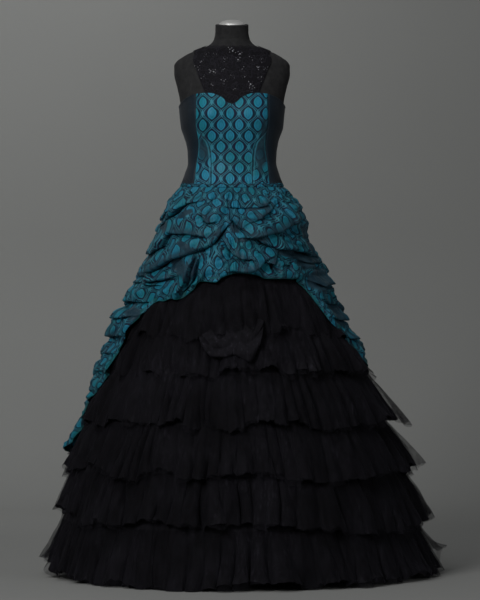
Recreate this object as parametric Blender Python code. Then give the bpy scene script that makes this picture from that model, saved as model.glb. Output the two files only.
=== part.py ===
"""Wedding dress on a limbless dress form: sweetheart bodice, lace yoke, picked-up overskirt and tulle tiers.

Metres, +Z up. The front of the dress looks along -Y, and angles round it run from the front towards +X.
"""

import math

import bpy
import numpy as np

# Driving sizes, in metres
FLOOR_GAP = 0.001
SEAM_GAP = 0.0003
FORM_GAP = 0.0022
BODICE_CLOTH = 0.0024
LACE_CLOTH = 0.0012
SKIRT_CLOTH = 0.0020
DAMASK_CLOTH = 0.0022
TULLE_CLOTH = 0.0020

BASE_RADIUS = 0.170
BASE_HEIGHT = 0.013
BASE_COLUMNS = 24
POLE_RADIUS = 0.016
POLE_COLUMNS = 16
CAP_RADIUS = 0.0355
CAP_HEIGHT = 0.0165
CAP_COLUMNS = 16
CAP_SHARES = (0.25, 0.55, 0.80, 0.95, 1.0)
NECK_TOP = 1.476
NECK_TILT = 0.16
NECK_TILT_START = 1.425

FORM_COLUMNS = 40
BODICE_ROWS = 11
BUST_HEIGHT = 1.228
BUST_APART = 0.066
BUST_FULLNESS = 0.018
BUST_SPREAD = (0.042, 0.045)

WAIST_SEAM_SIDE = 1.0475
WAIST_SEAM_DIP = 0.0055
WAIST_BAND_HEIGHT = 0.009
WAIST_BAND_CLOTH = 0.0058
WAIST_COLUMNS = 40

# Height, half width, half depth and centre y of the dress form, from the hip to the top of the neck
FORM_SECTIONS = np.array((
    (0.860, 0.1680, 0.128, 0.006),
    (0.900, 0.1730, 0.134, 0.006),
    (0.950, 0.1660, 0.128, 0.005),
    (1.000, 0.1500, 0.116, 0.003),
    (1.048, 0.1315, 0.103, 0.001),
    (1.075, 0.1225, 0.095, 0.000),
    (1.104, 0.1155, 0.090, 0.000),
    (1.134, 0.1155, 0.093, 0.000),
    (1.156, 0.1190, 0.097, 0.000),
    (1.177, 0.1265, 0.101, 0.000),
    (1.199, 0.1340, 0.105, 0.001),
    (1.234, 0.1385, 0.109, 0.002),
    (1.264, 0.1400, 0.107, 0.004),
    (1.307, 0.1480, 0.099, 0.007),
    (1.345, 0.1565, 0.085, 0.010),
    (1.366, 0.1565, 0.076, 0.011),
    (1.378, 0.1500, 0.070, 0.010),
    (1.389, 0.1350, 0.065, 0.008),
    (1.400, 0.1150, 0.061, 0.005),
    (1.410, 0.0870, 0.058, 0.002),
    (1.420, 0.0640, 0.054, 0.000),
    (1.434, 0.0500, 0.050, -0.004),
    (1.455, 0.0450, 0.047, -0.009),
    (NECK_TOP, 0.0446, 0.046, -0.014),
))

# More rows where the shoulder curves most
SHOULDER_ROWS = (1.3945, 1.405, 1.415, 1.427)

# Distance from the centre front, and height of the bodice's top edge there
SWEETHEART = np.array((
    (0.000, 1.2535),
    (0.010, 1.2570),
    (0.026, 1.2710),
    (0.040, 1.2785),
    (0.053, 1.2825),
    (0.069, 1.2835),
    (0.088, 1.2825),
    (0.1015, 1.2800),
    (0.115, 1.2750),
    (0.126, 1.2685),
    (0.134, 1.2605),
    (0.139, 1.2540),
))
BACK_TOP = 1.236

# Height, and distance from the centre front of the princess seam and of the gore's outer seam
BODICE_SEAMS = np.array((
    (1.300, 0.0940, 0.0946),
    (1.200, 0.0940, 0.0946),
    (1.185, 0.0880, 0.0915),
    (1.156, 0.0640, 0.0880),
    (1.134, 0.0575, 0.0890),
    (1.104, 0.0550, 0.0930),
    (1.040, 0.0540, 0.1000),
))

# Share of half the yoke's outline, the angle from its centre line in degrees, and the height. The outline
# starts on the bodice's top edge, and leaves it at YOKE_CORNER to run up to the shoulder seam.
YOKE_FRONT = np.array((
    (0.50, 30.0, 1.2855),
    (0.62, 34.0, 1.3200),
    (0.74, 38.0, 1.3600),
    (0.84, 46.0, 1.3890),
    (0.92, 62.0, 1.4005),
    (1.00, 90.0, 1.4045),
))
YOKE_BACK = np.array((
    (0.50, 37.0, 1.2375),
    (0.62, 36.0, 1.3000),
    (0.74, 36.5, 1.3600),
    (0.84, 46.0, 1.3910),
    (0.92, 62.0, 1.4005),
    (1.00, 90.0, 1.4045),
))
YOKE_CORNER = 0.50
YOKE_GAP = 0.0030
YOKE_TOP = 1.4165
YOKE_LIFT = 0.0020
YOKE_COLUMNS = 18
YOKE_DOWN = 9

# Radius and height down the side of the round base under the pole
BASE_PROFILE = (
    (0.030, BASE_HEIGHT),
    (BASE_RADIUS - 0.012, 0.010),
    (BASE_RADIUS - 0.002, 0.006),
    (BASE_RADIUS, 0.0),
)

# Height, and reach of the plain skirt to the left, right, front and back. The first section comes from the form
SKIRT_COLUMNS = 36
SKIRT_SECTIONS = np.array((
    (0.98, 0.163, 0.163, 0.150, 0.152),
    (0.84, 0.214, 0.214, 0.214, 0.222),
    (0.68, 0.282, 0.282, 0.282, 0.290),
    (0.58, 0.318, 0.322, 0.322, 0.326),
    (0.45, 0.362, 0.374, 0.370, 0.370),
    (0.32, 0.402, 0.424, 0.414, 0.414),
    (0.19, 0.436, 0.468, 0.452, 0.452),
    (0.03, 0.466, 0.510, 0.490, 0.490),
))

# Top, hem, reach of the hem to the left, right, front and back, number of gathers, and their depth
TIERS = (
    (0.84, 0.640, 0.320, 0.322, 0.322, 0.330, 16, 0.006),
    (0.68, 0.545, 0.353, 0.372, 0.370, 0.374, 20, 0.007),
    (0.58, 0.415, 0.402, 0.436, 0.420, 0.420, 24, 0.008),
    (0.45, 0.285, 0.442, 0.488, 0.462, 0.462, 25, 0.009),
    (0.32, 0.155, 0.468, 0.518, 0.498, 0.498, 26, 0.010),
    (0.19, FLOOR_GAP, 0.484, 0.543, 0.528, 0.528, 28, 0.010),
)
GATHERED_SHARE = 0.12
GATHER_DRIFT = (0.045, 0.025)
GATHER_UNEVEN = 0.22

# Height, and reach of the overskirt to the left, right, front and back
OVERSKIRT_SECTIONS = np.array((
    (1.015, 0.159, 0.162, 0.142, 0.150),
    (0.980, 0.178, 0.181, 0.178, 0.190),
    (0.945, 0.190, 0.196, 0.205, 0.222),
    (0.900, 0.202, 0.200, 0.228, 0.255),
    (0.860, 0.210, 0.212, 0.243, 0.280),
    (0.800, 0.248, 0.250, 0.266, 0.312),
    (0.740, 0.266, 0.272, 0.300, 0.335),
    (0.680, 0.313, 0.300, 0.325, 0.352),
    (0.620, 0.332, 0.336, 0.350, 0.375),
    (0.560, 0.358, 0.360, 0.374, 0.395),
    (0.450, 0.396, 0.412, 0.420, 0.437),
    (0.330, 0.450, 0.455, 0.460, 0.470),
))

# Angle round the dress in degrees, and height of the overskirt's lower edge
OVERSKIRT_HEM = np.array((
    (-180, 0.305),
    (-125, 0.300),
    (-100, 0.330),
    (-88, 0.450),
    (-80, 0.475),
    (-69, 0.548),
    (-60, 0.645),
    (-44, 0.733),
    (-31, 0.737),
    (-24, 0.755),
    (-18, 0.783),
    (-9, 0.781),
    (-5, 0.795),
    (4, 0.805),
    (14, 0.801),
    (21, 0.791),
    (40, 0.789),
    (48, 0.764),
    (55, 0.710),
    (60, 0.668),
    (67, 0.649),
    (73, 0.616),
    (78, 0.578),
    (90, 0.560),
    (105, 0.548),
    (125, 0.500),
    (152, 0.360),
    (180, 0.305),
))
OVERSKIRT_SEAMS = (-24.0, 30.0)
OVERSKIRT_ROWS = 11
HIP_REACH = 0.22
OVER_TULLE = 0.0025
OVER_SKIRT = 0.0010
ROW_LOOK = 1.3
DRAPE_FOLDS = 18
DRAPE_DEPTH = 0.010

# How far from its ends a fold fades out, and the share of its lift that the cloth below it sinks by
FOLD_FADE = 0.04
FOLD_SINK = 0.35

# Picked-up folds: lift and width in millimetres, then points across the front view and up, in millimetres.
# The cloth above each line laps over what is below it. Points past the side run on round the back.
FOLDS = (
    (13, 26, ((-70, 1006), (-119, 1004), (-157, 972), (-200, 932), (-250, 915))),
    (12, 24, ((-60, 915), (-85, 927), (-122, 926), (-160, 925), (-186, 892), (-215, 866), (-262, 850))),
    (15, 26, ((0, 948), (-27, 924), (-59, 897), (-110, 873), (-165, 843), (-208, 818), (-260, 800))),
    (10, 22, ((-150, 800), (-215, 790), (-250, 800), (-300, 786))),
    (12, 22, ((-240, 720), (-270, 700), (-318, 702), (-370, 680))),
    (12, 24, ((-12, 986), (25, 990), (70, 998), (115, 1006))),
    (12, 22, ((130, 994), (84, 972), (45, 948))),
    (13, 24, ((5, 908), (50, 912), (95, 917), (128, 926), (160, 944), (210, 955))),
    (12, 22, ((70, 896), (120, 884), (170, 876), (215, 868), (265, 850))),
    (13, 24, ((97, 845), (60, 820), (20, 806))),
    (10, 22, ((215, 790), (255, 778), (310, 765))),
    (10, 22, ((270, 690), (318, 668), (370, 650))),
)

# The ruched tulle at the centre front: half its angle round the dress, then height and stand-off of its sections
PUFF_SPAN = 15.0
PUFF_PLEATS = 8
PUFF_SECTIONS = np.array((
    (0.657, 0.000),
    (0.645, 0.017),
    (0.626, 0.030),
    (0.607, 0.033),
    (0.597, 0.032),
))
PUFF_DEPTH = 0.0030


# Tools

def remove_all():
    for old in list(bpy.data.objects):
        bpy.data.objects.remove(old, do_unlink=True)


def smooth_curve(table, column, at):
    """Reads a column of a table at new places along its first column, on a curve that never overshoots."""
    order = np.argsort(table[:, 0])
    known, value = table[order, 0], table[order, column]
    step = np.diff(known)
    slope = np.diff(value) / step
    tangent = np.zeros(len(known))
    tangent[0], tangent[-1] = slope[0], slope[-1]
    rising = slope[:-1] * slope[1:] > 0
    weight_a = 2 * step[1:] + step[:-1]
    weight_b = step[1:] + 2 * step[:-1]
    safe_a = np.where(rising, slope[:-1], 1.0)
    safe_b = np.where(rising, slope[1:], 1.0)
    mean = (weight_a + weight_b) / (weight_a / safe_a + weight_b / safe_b)
    tangent[1:-1] = np.where(rising, mean, 0.0)
    at = np.clip(at, known[0], known[-1])
    spot = np.clip(np.searchsorted(known, at) - 1, 0, len(step) - 1)
    share = (at - known[spot]) / step[spot]
    start = value[spot] + share**2 * (3 - 2 * share) * (value[spot + 1] - value[spot])
    lean = share * (1 - share) ** 2 * tangent[spot] - share**2 * (1 - share) * tangent[spot + 1]
    return start + step[spot] * lean


def material(name, colour, roughness, metallic=0.0):
    made = bpy.data.materials.new(name)
    made.use_nodes = True
    shader = made.node_tree.nodes["Principled BSDF"]
    shader.inputs["Base Color"].default_value = (*colour, 1.0)
    shader.inputs["Roughness"].default_value = roughness
    shader.inputs["Metallic"].default_value = metallic
    made.diffuse_color = (*colour, 1.0)
    return made


def mesh_object(name, points, faces, look):
    mesh = bpy.data.meshes.new(name)
    mesh.from_pydata([tuple(point) for point in points], [], faces)
    mesh.shade_smooth()
    mesh.set_sharp_from_angle(angle=math.radians(50))
    mesh.materials.append(look)
    made = bpy.data.objects.new(name, mesh)
    bpy.context.scene.collection.objects.link(made)
    return made


def two_triangles(a, b, c, d):
    return [(a, b, c), (a, c, d)]


def cloth_wall(name, outer, inner, closed, look):
    """A cloth piece between two grids of points, rows running down and columns round towards +X."""
    rows, columns = outer.shape[:2]
    half = rows * columns
    faces = []
    for column in range(columns if closed else columns - 1):
        after = (column + 1) % columns
        for row in range(rows - 1):
            a, b = row * columns + column, (row + 1) * columns + column
            c, d = (row + 1) * columns + after, row * columns + after
            faces += two_triangles(a, b, c, d)
            faces += [(half + a, half + c, half + b), (half + a, half + d, half + c)]
        low = (rows - 1) * columns
        faces += two_triangles(column, after, half + after, half + column)
        faces += two_triangles(low + column, half + low + column, half + low + after, low + after)
    if not closed:
        for row in range(rows - 1):
            first, below = row * columns, (row + 1) * columns
            last, last_below = first + columns - 1, below + columns - 1
            faces += two_triangles(first, half + first, half + below, below)
            faces += two_triangles(last, last_below, half + last_below, half + last)
    points = np.concatenate([outer.reshape(-1, 3), inner.reshape(-1, 3)])
    return mesh_object(name, points, faces, look)


def turned_solid(name, rings, look):
    """A solid through closed rings of points, from the top ring down, with a flat face at each end."""
    rows, columns = rings.shape[:2]
    points = [*rings.reshape(-1, 3), rings[0].mean(axis=0), rings[-1].mean(axis=0)]
    top, bottom = rows * columns, rows * columns + 1
    low = (rows - 1) * columns
    faces = []
    for column in range(columns):
        after = (column + 1) % columns
        for row in range(rows - 1):
            here, below = row * columns, (row + 1) * columns
            faces += two_triangles(here + column, below + column, below + after, here + after)
        faces.append((top, column, after))
        faces.append((bottom, low + after, low + column))
    return mesh_object(name, points, faces, look)


def round_angles(count, turn=0.0):
    return (np.arange(count) + turn) * 2 * math.pi / count


def circle_rings(profile, count):
    """Rings of a round piece on the axis, from rows of radius and height."""
    angle = round_angles(count)
    return np.array([
        np.column_stack([radius * np.sin(angle), -radius * np.cos(angle), np.full(count, height)])
        for radius, height in profile
    ])


# Dress form: its smooth surface carries the bodice and the yoke

def form_point(angle, height):
    """Points on the dress form, which leans forward at the neck."""
    width = smooth_curve(FORM_SECTIONS, 1, height)
    depth = smooth_curve(FORM_SECTIONS, 2, height)
    centre = smooth_curve(FORM_SECTIONS, 3, height)
    x = width * np.sin(angle)
    across, up = BUST_SPREAD
    bust = np.exp(-(((np.abs(x) - BUST_APART) / across) ** 2) - ((height - BUST_HEIGHT) / up) ** 2)
    reach = depth * np.cos(angle) + BUST_FULLNESS * bust * np.clip(np.cos(angle) * 2, 0, 1)
    lean = NECK_TILT * np.clip((height - NECK_TILT_START) / (NECK_TOP - NECK_TILT_START), 0, 1)
    return np.stack([x, centre - reach, height - lean * reach], axis=-1)


def off_form(angle, height, gap):
    """Points above the dress form's surface by the gap, measured square to it."""
    small = 1e-4
    point = form_point(angle, height)
    round_way = form_point(angle + small, height) - form_point(angle - small, height)
    up_way = form_point(angle, height + small) - form_point(angle, height - small)
    out = np.cross(round_way, up_way)
    return point + gap * out / np.linalg.norm(out, axis=-1, keepdims=True)


def angle_at(distance, height):
    """The angle at which the form's surface lies this far from the centre line, seen from the front."""
    width = smooth_curve(FORM_SECTIONS, 1, height)
    return np.arcsin(np.clip(distance / width, -1, 1))


def make_form():
    black = material("form_cloth", (0.012, 0.012, 0.014), 0.9)
    silver = material("cap_metal", (0.72, 0.72, 0.70), 0.28, 1.0)
    painted = material("stand_metal", (0.015, 0.015, 0.016), 0.4, 0.6)
    columns = FORM_COLUMNS
    angle = round_angles(columns)
    heights = np.sort(np.append(FORM_SECTIONS[:, 0], SHOULDER_ROWS))[::-1]
    rings = [form_point(angle, np.full(columns, height)) for height in heights]
    turned_solid("form_torso", np.array(rings), black)
    cap = []
    neck = form_point(round_angles(CAP_COLUMNS), np.full(CAP_COLUMNS, NECK_TOP))
    middle = neck.mean(axis=0)
    seat = middle + (neck - middle) * CAP_RADIUS / FORM_SECTIONS[-1, 1]
    for share in CAP_SHARES:
        rise = CAP_HEIGHT * math.sqrt(1 - share**2 * 0.96) - CAP_HEIGHT * 0.2 + SEAM_GAP
        cap.append(middle + (seat - middle) * share + np.array((0, 0, rise)))
    cap.append(seat + np.array((0, 0, SEAM_GAP)))
    turned_solid("form_neck_cap", np.array(cap), silver)
    torso_foot = FORM_SECTIONS[0, 0]
    turned_solid("form_base", circle_rings(BASE_PROFILE, BASE_COLUMNS), painted)
    pole = ((POLE_RADIUS, torso_foot - SEAM_GAP), (POLE_RADIUS, BASE_HEIGHT + SEAM_GAP))
    turned_solid("form_pole", circle_rings(pole, POLE_COLUMNS), painted)


# Bodice: panels over the form, between the sweetheart top and the waist seam

def waist_seam(angle):
    return WAIST_SEAM_SIDE - WAIST_SEAM_DIP * np.clip(np.cos(angle), 0, 1) ** 2


def bodice_top(angle):
    """Height of the bodice's top edge at an angle from the centre front."""
    size = np.abs((angle + math.pi) % (2 * math.pi) - math.pi)
    distance = SWEETHEART[-1, 0] * np.sin(np.minimum(size, math.pi / 2))
    side = smooth_curve(SWEETHEART, 1, distance)
    back = np.clip((size - math.pi / 2) / 0.7, 0, 1)
    return side + (BACK_TOP - SWEETHEART[-1, 1]) * back**2 * (3 - 2 * back)


def seam_angle(column, side):
    """A function of height for one of the bodice's front seams, on the left (-1) or right (1)."""
    return lambda height: side * angle_at(smooth_curve(BODICE_SEAMS, column, height), height)


def straight_seam(degrees):
    return lambda height: np.full_like(height, math.radians(degrees))


def bodice_panel(name, start, end, columns, rows, look):
    """A panel between two seams, each given as a function of height."""
    across = np.linspace(0, 1, columns + 1)[None, :]
    down = np.linspace(0, 1, rows + 1)[:, None]
    height = np.full((rows + 1, columns + 1), 1.15)
    for _ in range(8):
        half_gap = SEAM_GAP / 2 / smooth_curve(FORM_SECTIONS, 1, height)
        first, last = start(height) + half_gap, end(height) - half_gap
        angle = first + (last - first) * across
        height = bodice_top(angle) * (1 - down) + (waist_seam(angle) + SEAM_GAP) * down
    outer = off_form(angle, height, FORM_GAP + BODICE_CLOTH)
    return cloth_wall(name, outer, off_form(angle, height, FORM_GAP), False, look)


def make_bodice():
    damask = material("damask", (0.02, 0.13, 0.17), 0.45)
    slate = material("slate_satin", (0.025, 0.040, 0.055), 0.5)
    princess, gore = 1, 2
    bodice_panel("bodice_front", seam_angle(princess, -1), seam_angle(princess, 1), 14, BODICE_ROWS, damask)
    for side, word in ((-1, "left"), (1, "right")):
        gore_seams = (seam_angle(princess, side), seam_angle(gore, side))
        side_seams = (seam_angle(gore, side), straight_seam(side * 90))
        back_seams = (straight_seam(side * 90), straight_seam(side * 177))
        for part, seams, columns in (
            ("gore", gore_seams, 3),
            ("side", side_seams, 6),
            ("back", back_seams, 8),
        ):
            first, last = seams[::side]
            bodice_panel(f"bodice_{part}_{word}", first, last, columns, BODICE_ROWS, damask if part == "gore" else slate)
    bodice_panel("back_placket", straight_seam(177), straight_seam(183), 1, BODICE_ROWS, slate)


# Lace yoke: a front and a back that meet on the shoulders

def yoke_half(name, outline, facing, look):
    """One half of the yoke, spread like a fan from the neck to its outline."""
    across = np.linspace(-1, 1, YOKE_COLUMNS + 1)
    size = np.abs(across)
    on_bodice = size <= YOKE_CORNER
    turn = np.where(on_bodice, size / YOKE_CORNER * outline[0, 1], np.interp(size, outline[:, 0], outline[:, 1]))
    turn = np.radians(turn)
    foot = np.where(on_bodice, bodice_top(facing + turn) + YOKE_LIFT, np.interp(size, outline[:, 0], outline[:, 2]))
    down = np.linspace(0, 1, YOKE_DOWN + 1)[:, None]
    half_gap = SEAM_GAP / 2 / smooth_curve(FORM_SECTIONS, 1, YOKE_TOP)
    turn = turn + (size * math.pi / 2 - turn) * (1 - down)
    angle = facing + np.sign(across) * np.minimum(turn, math.pi / 2 - half_gap)
    height = YOKE_TOP + (foot - YOKE_TOP) * down
    outer = off_form(angle, height, YOKE_GAP + LACE_CLOTH)
    return cloth_wall(name, outer, off_form(angle, height, YOKE_GAP), False, look)


def make_yoke():
    lace = material("black_lace", (0.008, 0.008, 0.010), 0.6)
    yoke_half("lace_yoke_front", YOKE_FRONT, 0.0, lace)
    yoke_half("lace_yoke_back", YOKE_BACK, math.pi, lace)


# Skirts: each is a reach from the axis that depends on the angle and the height

def quarter_reach(angle, left, right, front, back):
    """Reach of a section made of four quarter ellipses."""
    side = np.where(np.sin(angle) >= 0, right, left)
    depth = np.where(np.cos(angle) >= 0, front, back)
    return 1 / np.sqrt((np.sin(angle) / side) ** 2 + (np.cos(angle) / depth) ** 2)


def at_reach(angle, reach, height):
    return np.stack([reach * np.sin(angle), -reach * np.cos(angle), height + 0 * angle], axis=-1)


def form_reach(angle, height, gap):
    """Reach of the form's surface, moved out by the gap."""
    point = off_form(angle, height, gap)
    return np.hypot(point[..., 0], point[..., 1])


def table_reach(table, angle, height):
    return quarter_reach(angle, *(smooth_curve(table, column, height) for column in (1, 2, 3, 4)))


def band_foot(angle):
    return waist_seam(angle) - SEAM_GAP / 2 - WAIST_BAND_HEIGHT


def make_waist_band():
    damask = material("damask_band", (0.02, 0.11, 0.15), 0.5)
    angle = round_angles(WAIST_COLUMNS)[None, :]
    height = np.concatenate([waist_seam(angle) - SEAM_GAP / 2, band_foot(angle)])
    angle = np.repeat(angle, 2, axis=0)
    outer = off_form(angle, height, FORM_GAP + WAIST_BAND_CLOTH)
    cloth_wall("waist_band", outer, off_form(angle, height, FORM_GAP), True, damask)


def skirt_rows(angle):
    """Height and reach of the plain skirt's outer face: the form's own section, then the table's."""
    top = band_foot(angle) - SEAM_GAP
    rows = [(top, form_reach(angle, top, FORM_GAP + SKIRT_CLOTH))]
    for height, *reach in SKIRT_SECTIONS:
        rows.append((np.full_like(angle, height), quarter_reach(angle, *reach)))
    return rows


def make_skirt_base():
    plain = material("skirt_lining", (0.010, 0.010, 0.012), 0.8)
    angle = round_angles(SKIRT_COLUMNS)
    rows = skirt_rows(angle)
    outer = np.array([at_reach(angle, reach, height) for height, reach in rows])
    inner = np.array([at_reach(angle, reach - SKIRT_CLOTH, height) for height, reach in rows])
    cloth_wall("skirt_base", outer, inner, True, plain)


def tier_reach(tier, angle, height):
    """Reach of a tier's middle line, from its gathered top to its hem."""
    top, hem, *hem_reach = tier[:6]
    seat = table_reach(SKIRT_SECTIONS, angle, np.full_like(angle, top)) + SEAM_GAP
    share = np.clip((top - height) / (top - hem), 0, 1)
    start = seat + tier[7] * GATHERED_SHARE
    return start + (quarter_reach(angle, *hem_reach) - start) * share, share


def tier_columns(number, tier):
    """Angle and wave of each column of a tier: four to a gather, with gathers of uneven width and depth."""
    even = round_angles(4 * tier[6])
    slow, quick = GATHER_DRIFT
    angle = even + slow * np.sin(3 * even + number) + quick * np.sin(7 * even + 2 * number)
    depth = 1 - GATHER_UNEVEN + GATHER_UNEVEN * np.sin(5 * even + 3 * number)
    return angle, np.cos(tier[6] * even) * depth


def tier_inside(number, tier, height):
    """Angle of each column, and reach of the tier's inner face at a height."""
    angle, wave = tier_columns(number, tier)
    reach, share = tier_reach(tier, angle, np.full_like(angle, height))
    return angle, reach + tier[7] * (GATHERED_SHARE + (1 - GATHERED_SHARE) * share) * wave


def make_tier(number, tier):
    tulle = material(f"tulle_{number}", (0.010, 0.010, 0.012), 0.75)
    outer, inner = [], []
    for height in tier[:2]:
        angle, reach = tier_inside(number, tier, height)
        inner.append(at_reach(angle, reach, np.full_like(angle, height)))
        outer.append(at_reach(angle, reach + TULLE_CLOTH, np.full_like(angle, height)))
    cloth_wall(f"tulle_tier_{number}", np.array(outer), np.array(inner), True, tulle)


def tulle_envelope(angle, height, near):
    """The furthest that any tier reaches at this place, counting a hem that lies within `near` of it."""
    furthest = np.zeros_like(angle)
    for tier in TIERS:
        reach, _ = tier_reach(tier, angle, height)
        by_hem = np.abs(height - tier[1]) < near
        there = by_hem | ((height <= tier[0]) & (height >= tier[1]))
        reach = np.where(by_hem, quarter_reach(angle, *tier[2:6]), reach)
        furthest = np.maximum(furthest, np.where(there, reach + tier[7] + TULLE_CLOTH, 0))
    return furthest


def make_puff():
    """Ruched tulle across the centre front, sewn to the first tier's highest gather and drawn in at both ends."""
    tulle = material("tulle_puff", (0.012, 0.012, 0.015), 0.75)
    across = np.linspace(-1, 1, 2 * PUFF_PLEATS + 1)
    angle = np.radians(PUFF_SPAN) * across
    narrow = 1 - 0.45 * np.abs(across) ** 2.5
    wave = PUFF_DEPTH * np.cos(math.pi * np.arange(len(across)))
    top = PUFF_SECTIONS[0, 0]
    tier_angle, tier_face = tier_inside(1, TIERS[0], top)
    turn = np.abs((tier_angle + math.pi) % (2 * math.pi) - math.pi)
    seat = tier_face[turn < math.radians(PUFF_SPAN)].max() + TULLE_CLOTH + SEAM_GAP
    outer, inner = [], []
    for height, stand_off in PUFF_SECTIONS:
        level = top + (height - top) * narrow
        face = seat + stand_off + (wave * narrow if 0 < stand_off else 0 * across)
        outer.append(at_reach(angle, face + TULLE_CLOTH, level))
        inner.append(at_reach(angle, face, level))
    cloth_wall("tulle_puff", np.array(outer), np.array(inner), False, tulle)


# Overskirt: picked-up damask, in three panels

def spread_out(angle, reach):
    """Distance round the skirt from the centre front, as seen in the front view and then on round the back."""
    size = np.abs(angle)
    seen = reach * np.sin(np.minimum(size, math.pi / 2))
    return np.sign(angle) * (seen + reach * np.clip(size - math.pi / 2, 0, None))


def fold_lift(x, height, lift, width, points):
    """How far one picked-up fold raises the cloth above its line and sinks it below, with faded ends."""
    line = np.array(points, float) / 1000
    lift, width = lift / 1000, width / 1000
    spans = np.linalg.norm(np.diff(line, axis=0), axis=1)
    run = np.concatenate([[0], np.cumsum(spans)])
    nearest = np.full(x.shape, 1e9)
    signed = np.zeros(x.shape)
    along = np.zeros(x.shape)
    for first, last, before, span in zip(line[:-1], line[1:], run[:-1], spans):
        way = (last - first) / span
        dx, dz = x - first[0], height - first[1]
        share = np.clip(dx * way[0] + dz * way[1], 0, span)
        away = np.hypot(dx - share * way[0], dz - share * way[1])
        above = np.sign(dz * abs(way[0]) - dx * way[1] * np.sign(way[0] or 1.0))
        closer = away < nearest
        nearest = np.where(closer, away, nearest)
        signed = np.where(closer, away * above, signed)
        along = np.where(closer, before + share, along)
    fade = np.clip(np.minimum(along, run[-1] - along) / FOLD_FADE, 0, 1)
    raised = np.exp(-np.clip(signed, 0, None) / width) * np.clip((signed + 0.004) / 0.008, 0, 1)
    sunk = FOLD_SINK * np.exp(np.clip(signed, None, 0) / (0.6 * width)) * (signed < 0.004)
    return lift * (0.25 + 0.75 * fade) * (raised - sunk) * (nearest < 4 * width)


def overskirt_reach(angle, height, top, row_drop):
    """Reach of the overskirt's outer face, clear of the tulle under it and between its rows."""
    flat = table_reach(OVERSKIRT_SECTIONS, angle, height)
    start = form_reach(angle, top, FORM_GAP + SKIRT_CLOTH + SEAM_GAP + DAMASK_CLOTH)
    below = np.clip((top - height) / (top - OVERSKIRT_SECTIONS[0, 0]), 0, 1)
    reach = start + (flat - start) * below
    x = spread_out(angle, reach)
    folds = sum(fold_lift(x, height, *fold) for fold in FOLDS)
    beside = np.clip((np.abs(angle) - math.radians(35)) / math.radians(30), 0, 1)
    lower = np.clip((top - height) / 0.45, 0, 1)
    hanging = DRAPE_DEPTH * beside * lower * np.cos(DRAPE_FOLDS * angle + 0.8 * np.sin(3 * angle))
    reach = reach + folds * np.clip((top - height) / 0.03, 0, 1) + hanging
    tulle = tulle_envelope(angle, height, ROW_LOOK * row_drop)
    clear = np.maximum(table_reach(SKIRT_SECTIONS, angle, height) + OVER_SKIRT, tulle + OVER_TULLE)
    return np.where(height < OVERSKIRT_SECTIONS[0, 0], np.maximum(reach, clear + DAMASK_CLOTH), reach)


def overskirt_panel(name, first, last, columns, rows, look):
    """A panel from the waist band to the hem, between two angles in degrees."""
    degrees = np.linspace(first, last, columns + 1)[None, :]
    down = np.linspace(0, 1, rows + 1)[:, None]
    half_gap = SEAM_GAP / 2 / HIP_REACH
    angle = np.radians(degrees)
    angle[0, 0] += half_gap
    angle[0, -1] -= half_gap
    angle = angle + 0 * down
    top = band_foot(angle) - SEAM_GAP
    wrapped = (np.degrees(angle) + 180) % 360 - 180
    hem = np.interp(wrapped, OVERSKIRT_HEM[:, 0], OVERSKIRT_HEM[:, 1])
    height = top + (hem - top) * down
    row_drop = (top - hem) / rows
    reach = overskirt_reach(np.radians(wrapped), height, top, row_drop)
    outer = at_reach(angle, reach, height)
    return cloth_wall(name, outer, at_reach(angle, reach - DAMASK_CLOTH, height), False, look)


def make_overskirt():
    damask = material("damask_skirt", (0.02, 0.13, 0.17), 0.45)
    left, right = OVERSKIRT_SEAMS
    overskirt_panel("overskirt_left", -180, left, 40, OVERSKIRT_ROWS, damask)
    overskirt_panel("overskirt_front", left, right, 16, OVERSKIRT_ROWS, damask)
    overskirt_panel("overskirt_right", right, 180, 38, OVERSKIRT_ROWS, damask)


def centre_on_box(name):
    """Parents every piece to one empty, which puts the middle of the whole over the origin."""
    anchor = bpy.data.objects.new(name, None)
    bpy.context.scene.collection.objects.link(anchor)
    pieces = [piece for piece in bpy.data.objects if piece.type == "MESH"]
    points = np.array([corner for piece in pieces for corner in piece.bound_box])
    middle = (points.min(axis=0) + points.max(axis=0)) / 2
    anchor.location = (-middle[0], -middle[1], 0.0)
    for piece in pieces:
        piece.parent = anchor


remove_all()
make_form()
make_bodice()
make_yoke()
make_waist_band()
make_skirt_base()
for tier_number, tier_sizes in enumerate(TIERS, 1):
    make_tier(tier_number, tier_sizes)
make_puff()
make_overskirt()
centre_on_box("dress_on_form")
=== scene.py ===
import math

import bpy
import numpy as np
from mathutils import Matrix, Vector


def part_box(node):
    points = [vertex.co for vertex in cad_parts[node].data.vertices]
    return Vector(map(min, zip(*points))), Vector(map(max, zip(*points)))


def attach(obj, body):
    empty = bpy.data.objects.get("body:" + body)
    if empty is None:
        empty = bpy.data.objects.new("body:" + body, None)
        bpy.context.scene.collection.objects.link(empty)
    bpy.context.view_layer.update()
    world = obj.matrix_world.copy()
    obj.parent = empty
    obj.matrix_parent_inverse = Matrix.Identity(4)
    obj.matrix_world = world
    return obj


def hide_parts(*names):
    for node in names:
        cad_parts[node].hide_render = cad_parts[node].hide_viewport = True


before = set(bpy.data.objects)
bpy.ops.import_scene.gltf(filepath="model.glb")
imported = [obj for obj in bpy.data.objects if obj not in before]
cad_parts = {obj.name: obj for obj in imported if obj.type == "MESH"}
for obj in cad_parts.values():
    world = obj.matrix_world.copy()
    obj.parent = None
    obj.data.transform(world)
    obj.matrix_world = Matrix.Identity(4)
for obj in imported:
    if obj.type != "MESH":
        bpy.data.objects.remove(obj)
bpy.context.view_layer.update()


# The dress form is a limbless torso of firm foam under a fitted cover of matte black jersey, which is seamed
# down the sides, over the shoulders and round the foot of the neck. A silver cap closes the neck, and a black
# painted pole and round base carry the whole under the skirt.

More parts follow.
